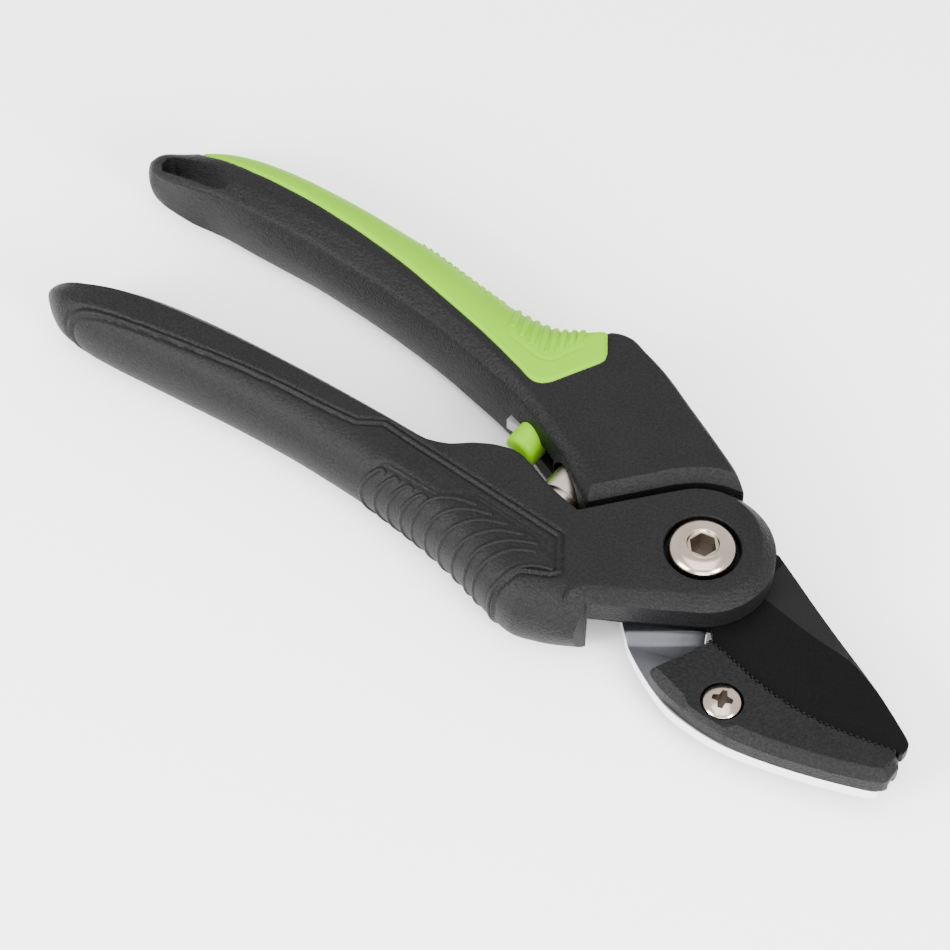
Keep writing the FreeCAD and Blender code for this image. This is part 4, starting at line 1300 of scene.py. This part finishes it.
@dataclass
class Jaws:
    """The blade, the anvil arm and its pad."""

    blade_low: float = 9.5
    blade_high: float = 12.5
    spine: Points = ((55.8, -10.3), (55.6, -9.1), (54.6, -8.0), (50.0, -5.4), (45.0, -2.8),
                     (40.0, -0.4), (34.8, 1.9), (28.0, 4.9), (21.9, 7.7), (16.0, 10.5),
                     (10.6, 13.0))
    tang: Points = ((-7.5, 12.0), (-19.0, -4.0), (-27.5, -14.5), (-55.0, -15.5), (-55.0, -21.0),
                    (-24.0, -25.0), (-16.4, -24.9), (9.6, -9.8), (11.3, -11.6))
    pad_top: float = 13.5
    plate_top: float = 8.0
    screw_at: tuple[float, float] = (21.7, -23.5)
    pad_outer: Points = ((56.0, -18.4), (53.6, -19.9), (47.2, -22.7), (41.0, -24.9), (35.2, -26.7),
                         (29.5, -28.1), (24.8, -28.8), (18.1, -28.9), (11.1, -27.9), (7.6, -26.8))

    pad_wall: float = 2.4
    arm_low: float = 6.0
    arm_thick: float = 3.2
    arm_hub_radius: float = 13.4
    joggle: float = 1.2
    bend_at: tuple[float, float] = (0.0, -19.4)
    bend_angle: float = 38.0
    bend_before: float = 2.6
    bend_after: float = 0.8
    arm_outer: Points = (
        (55.4, -18.9), (53.3, -20.1), (44.5, -23.6), (35.4, -26.6), (25.6, -28.9), (17.2, -29.2),
        (10.5, -28.0), (2.0, -24.2), (-4.2, -20.0), (-11.0, -13.0), (-15.5, -5.0), (-17.0, 2.0))
    arm_tang: Points = ((-21.0, 8.0), (-30.0, 12.6), (-62.0, 17.0), (-62.0, 24.0), (-31.0, 26.0),
                        (-13.0, 19.0), (-2.0, 14.6))

    def blade(self) -> None:
        """The blade with its ground spine facet."""
        edge = smooth_path([(x, y + 0.3) for x, y in ANVIL_FACE], 0.6)
        outline = np.vstack([smooth_path(self.spine, 0.6)[:-1],
                             straight_path([self.spine[-1], *self.tang], 1.0),
                             edge, [(55.2, -11.9), (55.7, -11.4)]])
        blade = plate("cutting_blade", outline, self.blade_low, self.blade_high, 0.25, 0.2, 0.15)
        combine(blade, self.spine_cutter(), Cut.REMOVE)
        combine(blade, lathe("bush_hole", [(0, 2), (5.52, 2), (5.52, 18), (0, 18)]), Cut.REMOVE)
        self.paint_facet_highlight(blade)
        finish_piece(blade, "blade_coating", Body.BLADE, ["blade"], 12.0)

    def spine_cutter(self) -> bpy.types.Object:
        """A wedge that grinds the facet along the spine."""
        back = np.array([(8.0, 14.4), (21.9, 8.4), (34.8, 2.5), (45.0, -2.3), (50.0, -4.9)])
        line = np.array([(8.0, 2.4), (14.9, 1.9), (26.5, 0.5), (35.7, 0.1), (40.4, -1.1),
                         (45.1, -3.0), (49.6, -5.3)])
        back = resample(smooth_path(back, 1.0), 40)
        line_at = resample(smooth_path(line, 1.0), 40)
        rings = []
        for b, g in zip(back, line_at):
            rings.append(np.array([[g[0], g[1], self.blade_high],
                                   [b[0], b[1], self.blade_high - 1.0],
                                   [b[0] + 1, b[1] + 2, self.blade_high - 1.0],
                                   [b[0] + 1, b[1] + 2, 15.0],
                                   [g[0], g[1], 15.0]]))
        return rings_solid("spine_cutter", rings)

    def paint_facet_highlight(self, blade: bpy.types.Object) -> None:
        """Colours the ground facet lighter than the rest of the coating, a painted highlight for
        the light the tilted facet catches.
        """
        blade.data.materials.clear()
        blade.data.materials.append(FINISHES["blade_coating"])
        blade.data.materials.append(FINISHES["blade_facet_painted_highlight"])
        for face in blade.data.polygons:
            tilt = face.normal.z
            if 0.90 < tilt < 0.9995 and face.center.x > 0.012:
                face.material_index = 1

    def pad(self) -> None:
        """The anvil pad with its bevelled outer side and screw seat."""
        outer = smooth_path(self.pad_outer, 0.6)
        rear = straight_path([tuple(outer[-1]), (6.3, -26.2), (5.9, -25.2), (11.3, -14.0)], 0.8)[1:]
        face = smooth_path(ANVIL_FACE, 0.6)
        tip = straight_path([(54.2, -12.1), (55.7, -12.7), (56.5, -13.9), (56.5, -17.5),
                             (56.0, -18.4)], 0.6)[1:-1]
        outline = np.vstack([outer, rear, face, tip])
        counts = [len(outer), len(rear), len(face), len(tip)]
        wide = np.concatenate([
            np.interp(outer[:, 0], [7, 10, 15.0, 16.8, 25.6, 27.4, 50, 56],
                      [1.5, 1.9, 1.7, 0.5, 0.5, 2.3, 2.2, 2.1]),
            np.interp(np.linspace(0, 1, counts[1]), [0, 0.12, 0.9, 1], [1.4, 0.9, 0.9, 0.5]),
            np.full(counts[2], 0.35),
            np.interp(np.linspace(0, 1, counts[3]), [0, 0.4, 1], [0.5, 1.8, 2.1])])
        pad = plate("anvil_cushion", outline, self.plate_top, self.pad_top, wide, 2.0, 0.1)
        back = np.array([(x, y - 2.4) for x, y in face])
        wall = np.vstack([face, back[::-1]])
        combine(pad, plate("anvil_wall", wall, 4.0, 9.0, 0.0, 0.0, 0.4), Cut.ADD)
        combine(pad, lathe("screw_seat",
                           [(0, 11.3), (4.3, 11.3), (4.3, 13.42), (4.42, 13.55), (4.42, 16),
                            (0, 16)],
                           self.screw_at), Cut.REMOVE)
        notch = np.array([(55.2, -17.2), (58, -17.2), (58, -15.2), (55.2, -15.2)])
        combine(pad, plate("tip_notch", notch, 2.0, 9.6), Cut.REMOVE)
        finish_piece(pad, "pad_nylon", Body.ANVIL, ["anvil_pad"], 25.0)
        line = level(smooth_path([(x, y - 0.30) for x, y in ANVIL_FACE], 0.5), self.pad_top - 0.35)
        teeth = Repeater.studs("anvil_lip_teeth", line, 1.25, 0.34, 0.7, "pad_nylon")
        finish_piece(teeth, "pad_nylon", Body.ANVIL, angle=50.0)
        marks = []
        for cx, cy in ((11.3, -22.6), (19.8, -17.9), (28.9, -23.2), (50.2, -16.0)):
            turn = np.linspace(0, 2 * np.pi, 33)
            marks.append(np.column_stack([cx + 1.15 * np.cos(turn), cy + 1.15 * np.sin(turn),
                                          np.full(33, self.pad_top - 0.03)]))
        rings = Repeater.ridges("anvil_pin_marks", marks, 0.09, "pad_nylon")
        finish_piece(rings, "pad_nylon", Body.ANVIL, angle=50.0)

    def arm(self) -> None:
        """The joggled arm: its flat faces get a near-black steel, a painted dark reflection of the
        surroundings, and its ground edge a bright steel.
        """
        inner = smooth_path([(x, y - self.pad_wall) for x, y in ANVIL_FACE], 0.6)
        outline = np.vstack([smooth_path(self.arm_outer, 0.6)[:-1],
                             straight_path([self.arm_outer[-1], *self.arm_tang], 1.0),
                             arc_path((0.0, 0.0), self.arm_hub_radius, 88.0, -48.0, 60),
                             inner])
        arm = plate("anvil_plate", outline, self.arm_low, self.arm_low + self.arm_thick, 0.22, 0.22,
                    0.22)
        self.bend(arm)
        combine(arm, lathe("bolt_hole", [(0, 2), (4.05, 2), (4.05, 12), (0, 12)]), Cut.REMOVE)
        combine(arm, lathe("screw_hole", [(0, 2), (2.05, 2), (2.05, 12), (0, 12)], self.screw_at),
                Cut.REMOVE)
        arm.data.materials.clear()
        arm.data.materials.append(FINISHES["arm_face_painted_reflection_steel"])
        arm.data.materials.append(FINISHES["arm_edge_steel"])
        # flat faces keep the near-black painted-reflection steel; upright edge faces get the bright
        # edge steel
        for face in arm.data.polygons:
            if abs(face.normal.z) < 0.6:
                face.material_index = 1
        finish_piece(arm, "arm_face_painted_reflection_steel", Body.ANVIL, ["anvil_arm"], 40.0)

    def bend(self, arm: bpy.types.Object) -> None:
        """Presses the soft joggle that sets the jaw part lower.

        Args:
            arm: the flat arm.
        """
        turn = math.radians(self.bend_angle)
        away = Vector((math.sin(turn), -math.cos(turn), 0.0))
        start = Vector((self.bend_at[0], self.bend_at[1], 0.0))
        mesh = bmesh.new()
        mesh.from_mesh(arm.data)
        for step in np.linspace(-self.bend_before, self.bend_after, 13):
            everything = mesh.verts[:] + mesh.edges[:] + mesh.faces[:]
            bmesh.ops.bisect_plane(mesh, geom=everything,
                                   plane_co=(start + away * float(step)) * MM, plane_no=away)
        for vertex in mesh.verts:
            gap = (vertex.co / MM - start).dot(away) + self.bend_before
            share = min(1.0, max(0.0, gap / (self.bend_before + self.bend_after)))
            vertex.co.z -= self.joggle * MM * share * share * (3.0 - 2.0 * share)
        mesh.to_mesh(arm.data)
        mesh.free()

    def build(self) -> None:
        """Builds the jaws."""
        self.blade()
        self.pad()
        self.arm()


def refined(node: str, name: str, bevel_mm: float) -> bpy.types.Object:
    """A merged copy of a CAD node with its sharp edges eased.

    Args:
        node: the CAD node.
        name: the new piece's name.
        bevel_mm: width of the eased edge.

    Returns:
        The new object.
    """
    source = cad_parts[node]
    copy = bpy.data.objects.new(name, source.data.copy())
    bpy.context.scene.collection.objects.link(copy)
    mesh = bmesh.new()
    mesh.from_mesh(copy.data)
    bmesh.ops.remove_doubles(mesh, verts=mesh.verts, dist=0.002 * MM)
    bmesh.ops.dissolve_limit(mesh, angle_limit=math.radians(0.6), verts=mesh.verts,
                             edges=mesh.edges)
    sharp = [e for e in mesh.edges if len(e.link_faces) == 2
             and e.calc_face_angle(0.0) > math.radians(40)]
    bmesh.ops.bevel(mesh, geom=sharp, offset=bevel_mm * MM, segments=2, affect="EDGES", profile=0.5,
                    clamp_overlap=True)
    mesh.to_mesh(copy.data)
    mesh.free()
    copy.data.materials.clear()
    return copy


# ---------------------------------------------------------------------------
# Fasteners, spring and lock
# ---------------------------------------------------------------------------

def paint_recess_shade(head: bpy.types.Object, centre: tuple[float, float], radius: float,
           below: float) -> None:
    """Paints shade inside a driver recess: its faces get a much darker nickel, a painted shade.

    Args:
        head: the screw or bolt.
        centre: the head's plan centre.
        radius: how far out the recess reaches.
        below: faces under this height are inside.
    """
    head.data.materials.clear()
    head.data.materials.append(FINISHES["nickel_plate"])
    head.data.materials.append(FINISHES["recess_shade_nickel"])
    # faces inside the recess get the painted shade nickel
    for face in head.data.polygons:
        spot = face.center / MM
        near = math.hypot(spot.x - centre[0], spot.y - centre[1]) < radius
        if near and below - 3.0 < spot.z < below:
            face.material_index = 1


@dataclass
class Fasteners:
    """The pivot bolt, its nut and washers, and the anvil screw."""

    head_radius: float = 6.9
    head_low: float = 17.0
    head_rim: float = 19.2
    head_high: float = 21.4
    hex_flats: float = 5.0
    cross_turn: float = 0.35
    screw_at: tuple[float, float] = (21.7, -23.5)

    def bolt(self) -> None:
        """The button head bolt with its hex socket and thread."""
        r, low, rim, high = self.head_radius, self.head_low, self.head_rim, self.head_high
        rise = high - rim - 0.35
        dome = [(3.75 + (r - 3.75) * math.cos(a), rim + 0.35 + rise * math.sin(a) ** 1.15)
                for a in np.radians(np.linspace(2, 86, 18))]
        profile = [(0, 0.0), (3.5, 0.0), (4.0, 0.5), (4.0, low), (r - 0.25, low), (r, low + 0.25),
                   (r, rim),
                   *dome, (3.62, high - 0.02), (3.5, high + 0.02), (3.36, high - 0.03),
                   (3.1, high - 0.42),
                   (2.93, high - 0.5), (0, high - 0.5)]
        bolt = lathe("pivot_button_bolt", profile)
        turn = np.radians(np.arange(6) * 60.0 + 12.0)
        corner = self.hex_flats / math.sqrt(3.0)
        socket = np.stack([corner * np.cos(turn), corner * np.sin(turn)], axis=1)
        combine(bolt, plate("hex_socket", socket, 18.2, 22.0), Cut.REMOVE)
        # painted shade inside the hex socket
        paint_recess_shade(bolt, (0.0, 0.0), corner + 0.05, high - 0.8)
        finish_piece(bolt, "nickel_plate", Body.ANVIL, ["pivot_bolt"], 30.0)
        turns = np.linspace(0, 2 * np.pi * 3.4, 160)
        helix = np.column_stack([3.92 * np.cos(turns), 3.92 * np.sin(turns),
                                 0.45 + turns / (2 * np.pi) * 1.25])
        helix = helix[helix[:, 2] < 4.4]
        thread = Repeater.ridges("pivot_bolt_thread", [helix], 0.28, "nickel_plate")
        finish_piece(thread, "nickel_plate", Body.ANVIL, angle=60.0)

    def screw(self) -> None:
        """The pan head screw of the pad with its cross recess."""
        r = 4.18
        dome = [(r * math.cos(a), 12.5 + 1.9 * math.sin(a))
                for a in np.radians(np.linspace(0, 88, 16))]
        screw = lathe("anvil_pan_screw",
                      [(0, 4.8), (1.6, 4.8), (2.0, 5.2), (2.0, 11.3), (r - 0.1, 11.3), (r, 11.4),
                       *dome,
                                          (0, 14.4)], self.screw_at)
        cross = [(2.1, -0.5), (2.1, 0.5), (0.8, 0.8), (0.5, 2.1), (-0.5, 2.1), (-0.8, 0.8),
                 (-2.1, 0.5), (-2.1, -0.5), (-0.8, -0.8), (-0.5, -2.1), (0.5, -2.1), (0.8, -0.8)]
        c, d = math.cos(self.cross_turn), math.sin(self.cross_turn)
        outline = np.array([(self.screw_at[0] + x * c - y * d, self.screw_at[1] + x * d + y * c)
                            for x, y in cross])
        combine(screw, plate("cross_recess", outline, 12.4, 15.0), Cut.REMOVE)
        # painted shade inside the cross recess
        paint_recess_shade(screw, self.screw_at, 2.2, 13.4)
        finish_piece(screw, "nickel_plate", Body.ANVIL, ["anvil_screw"], 30.0)

    def small_parts(self) -> None:
        """The nut, nut washer and bush, from the frame with eased edges; the other small frame
        parts get zinc plate.
        """
        rows = [("pivot_nut", "pivot_hex_nut", Body.ANVIL, "nickel_steel", "nickel_plate", 0.3),
                ("nut_washer", "nut_flat_washer", Body.ANVIL, "washer_steel", "zinc_plate", 0.15),
                ("pivot_bush", "pivot_flange_bush", Body.BLADE, "washer_steel", "zinc_plate", 0.12)]
        for node, name, body, slot, finish, bevel in rows:
            piece = refined(node, name, bevel)
            finish_piece(piece, finish, body, [node], 30.0)
        for node in ("blade_washer", "lock_catch_pin", "lower_spring_stud", "upper_spring_stud",
                     "lock_detent_spring", "lock_rivet", "lock_slide"):
            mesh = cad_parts[node].data
            mesh.materials.clear()
            mesh.materials.append(FINISHES["zinc_plate"])

    def build(self) -> None:
        """Builds the fasteners."""
        self.bolt()
        self.screw()
        self.small_parts()


@dataclass
class SpringAndLock:
    """The volute return spring and the green lock button."""

    spring_radius: float = 5.5
    strip_wide: float = 9.6
    strip_thick: float = 0.6
    spring_top: float = 7.4
    spring_low: float = -10.7
    button_x: float = -47.6
    button_wide: float = 7.0
    button_tall: float = 9.4

    def spring(self) -> None:
        """A flat strip wound on itself, wide turns at the top."""
        turns = 2.6
        count = 200
        rings = []
        for i in range(count):
            t = i / (count - 1)
            turn = 2 * math.pi * turns * t
            radius = self.spring_radius - self.strip_thick * 1.15 * turns * t
            y = self.spring_top - self.strip_wide / 2 - (self.spring_top - self.spring_low
                                                         - self.strip_wide) * t
            out = np.array([math.cos(turn), 0.0, math.sin(turn)])
            centre = np.array([SPRING_AT[0], y, SPRING_AT[1]])
            half, thick = self.strip_wide / 2, self.strip_thick / 2
            corners = []
            for side, high in ((-1, -1), (1, -1), (1, 1), (-1, 1)):
                corners.append(centre + out * (radius - thick + side * thick)
                               + np.array([0, high * half, 0]))
            rings.append(np.array(corners))
        spring = rings_solid("volute_spring", rings)
        spring.data.materials.append(FINISHES["spring_steel"])
        soften(spring, 40.0)
        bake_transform(spring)
        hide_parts("return_spring")
        LOG.info("%s: %d faces", spring.name, len(spring.data.polygons))

    def button(self) -> None:
        """The oval lock button with a rounded face."""
        straight = (self.button_tall - self.button_wide) / 2
        radius = self.button_wide / 2
        turn = np.radians(np.linspace(0, 360, 72, endpoint=False))
        ring = np.stack([radius * np.cos(turn),
                         radius * np.sin(turn) + straight * np.sign(np.sin(turn))], axis=1)
        rings = []
        face_y, back_y, edge = 1.2, 6.9, 1.3
        places = [(back_y, 0.0)] + [(face_y + edge * (1 - math.sin(a)), edge * (1 - math.cos(a)))
                                    for a in np.radians(np.linspace(0, 84, 9))]
        for y, less in places:
            scale = 1 - less / radius
            pulled = ring * np.array([scale, 1 - less / (radius + straight)])
            rings.append(np.column_stack([self.button_x + pulled[:, 0], np.full(len(ring), y),
                                          MID_Z + pulled[:, 1]]))
        button = rings_solid("lock_push_button", rings)
        finish_piece(button, "green_plastic", Body.LOCK, ["lock_button"], 40.0)

    def build(self) -> None:
        """Builds the spring and the button."""
        self.spring()
        self.button()


# ---------------------------------------------------------------------------
# Studio
# ---------------------------------------------------------------------------

@dataclass
class Studio:
    """Pale floor, soft lights and the camera."""

    camera_at: tuple[float, float, float] = (0.14887, -0.26452, 0.45448)
    tilt: float = 36.2
    turn: float = 38.0
    lens: float = 100.0

    def camera(self) -> None:
        """A long lens at the catalogue view."""
        data = bpy.data.cameras.new("camera")
        data.lens = self.lens
        data.sensor_width = 36.0
        data.dof.use_dof = False
        camera = bpy.data.objects.new("camera", data)
        camera.location = self.camera_at
        camera.rotation_euler = Euler((math.radians(self.tilt), 0.0, math.radians(self.turn)))
        bpy.context.scene.collection.objects.link(camera)
        bpy.context.scene.camera = camera

    def floor(self) -> None:
        """A plain pale floor."""
        mesh = bpy.data.meshes.new("floor")
        half = 3.0
        mesh.from_pydata([(-half, -half, -0.0002), (half, -half, -0.0002), (half, half, -0.0002),
                          (-half, half, -0.0002)],
                         [], [(0, 1, 2, 3)])
        floor = bpy.data.objects.new("floor", mesh)
        bpy.context.scene.collection.objects.link(floor)
        tree = NodeTree("floor_paper")
        tree.feed("Base Color",
                  tree.ramp(tree.noise(2.0),
                            [(0.0, (0.90, 0.90, 0.90)), (1.0, (0.93, 0.93, 0.93))]))
        tree.fix("Roughness", 0.9)
        mesh.materials.append(tree.material)

    def light(self, name: str, place: tuple[float, float, float], aim: tuple[float, float, float],
              size: float,
              power: float) -> None:
        """One soft square light.

        Args:
            name: the light's name.
            place: where it stands.
            aim: the point it faces.
            size: its side.
            power: its power in watts.
        """
        data = bpy.data.lights.new(name, "AREA")
        data.size = size
        data.energy = power
        lamp = bpy.data.objects.new(name, data)
        lamp.location = place
        direction = Vector(aim) - Vector(place)
        lamp.rotation_euler = direction.to_track_quat("-Z", "Y").to_euler()
        bpy.context.scene.collection.objects.link(lamp)

    def build(self) -> None:
        """Sets up the studio."""
        self.camera()
        self.floor()
        world = bpy.data.worlds.new("studio")
        world.use_nodes = True
        world.node_tree.nodes["Background"].inputs[0].default_value = (1.0, 1.0, 1.0, 1.0)
        world.node_tree.nodes["Background"].inputs[1].default_value = 2.0
        bpy.context.scene.world = world
        middle = (-0.04, 0.0, 0.01)
        turn = math.radians(self.turn)

        def seen(right: float, back: float, up: float) -> tuple[float, float, float]:
            """A place given from the camera's side."""
            return (right * math.cos(turn) - back * math.sin(turn),
                    right * math.sin(turn) + back * math.cos(turn), up)
        self.light("left_box", seen(-0.75, -0.45, 0.45), middle, 0.45, 21.0)
        self.light("right_box", seen(0.62, -0.75, 0.50), middle, 0.40, 21.0)
        self.light("front_box", seen(0.0, -1.0, 0.28), middle, 0.7, 13.0)
        self.light("top_box", seen(0.0, -0.3, 1.5), middle, 1.4, 26.0)


def main() -> None:
    """Builds the shears in order."""
    FINISHES.build()
    for part in (UpperHandle(), LowerHandle(), Jaws(), Fasteners(), SpringAndLock(), Studio()):
        LOG.info("building %s", type(part).__name__)
        part.build()


if __name__ == "__main__":
    main()
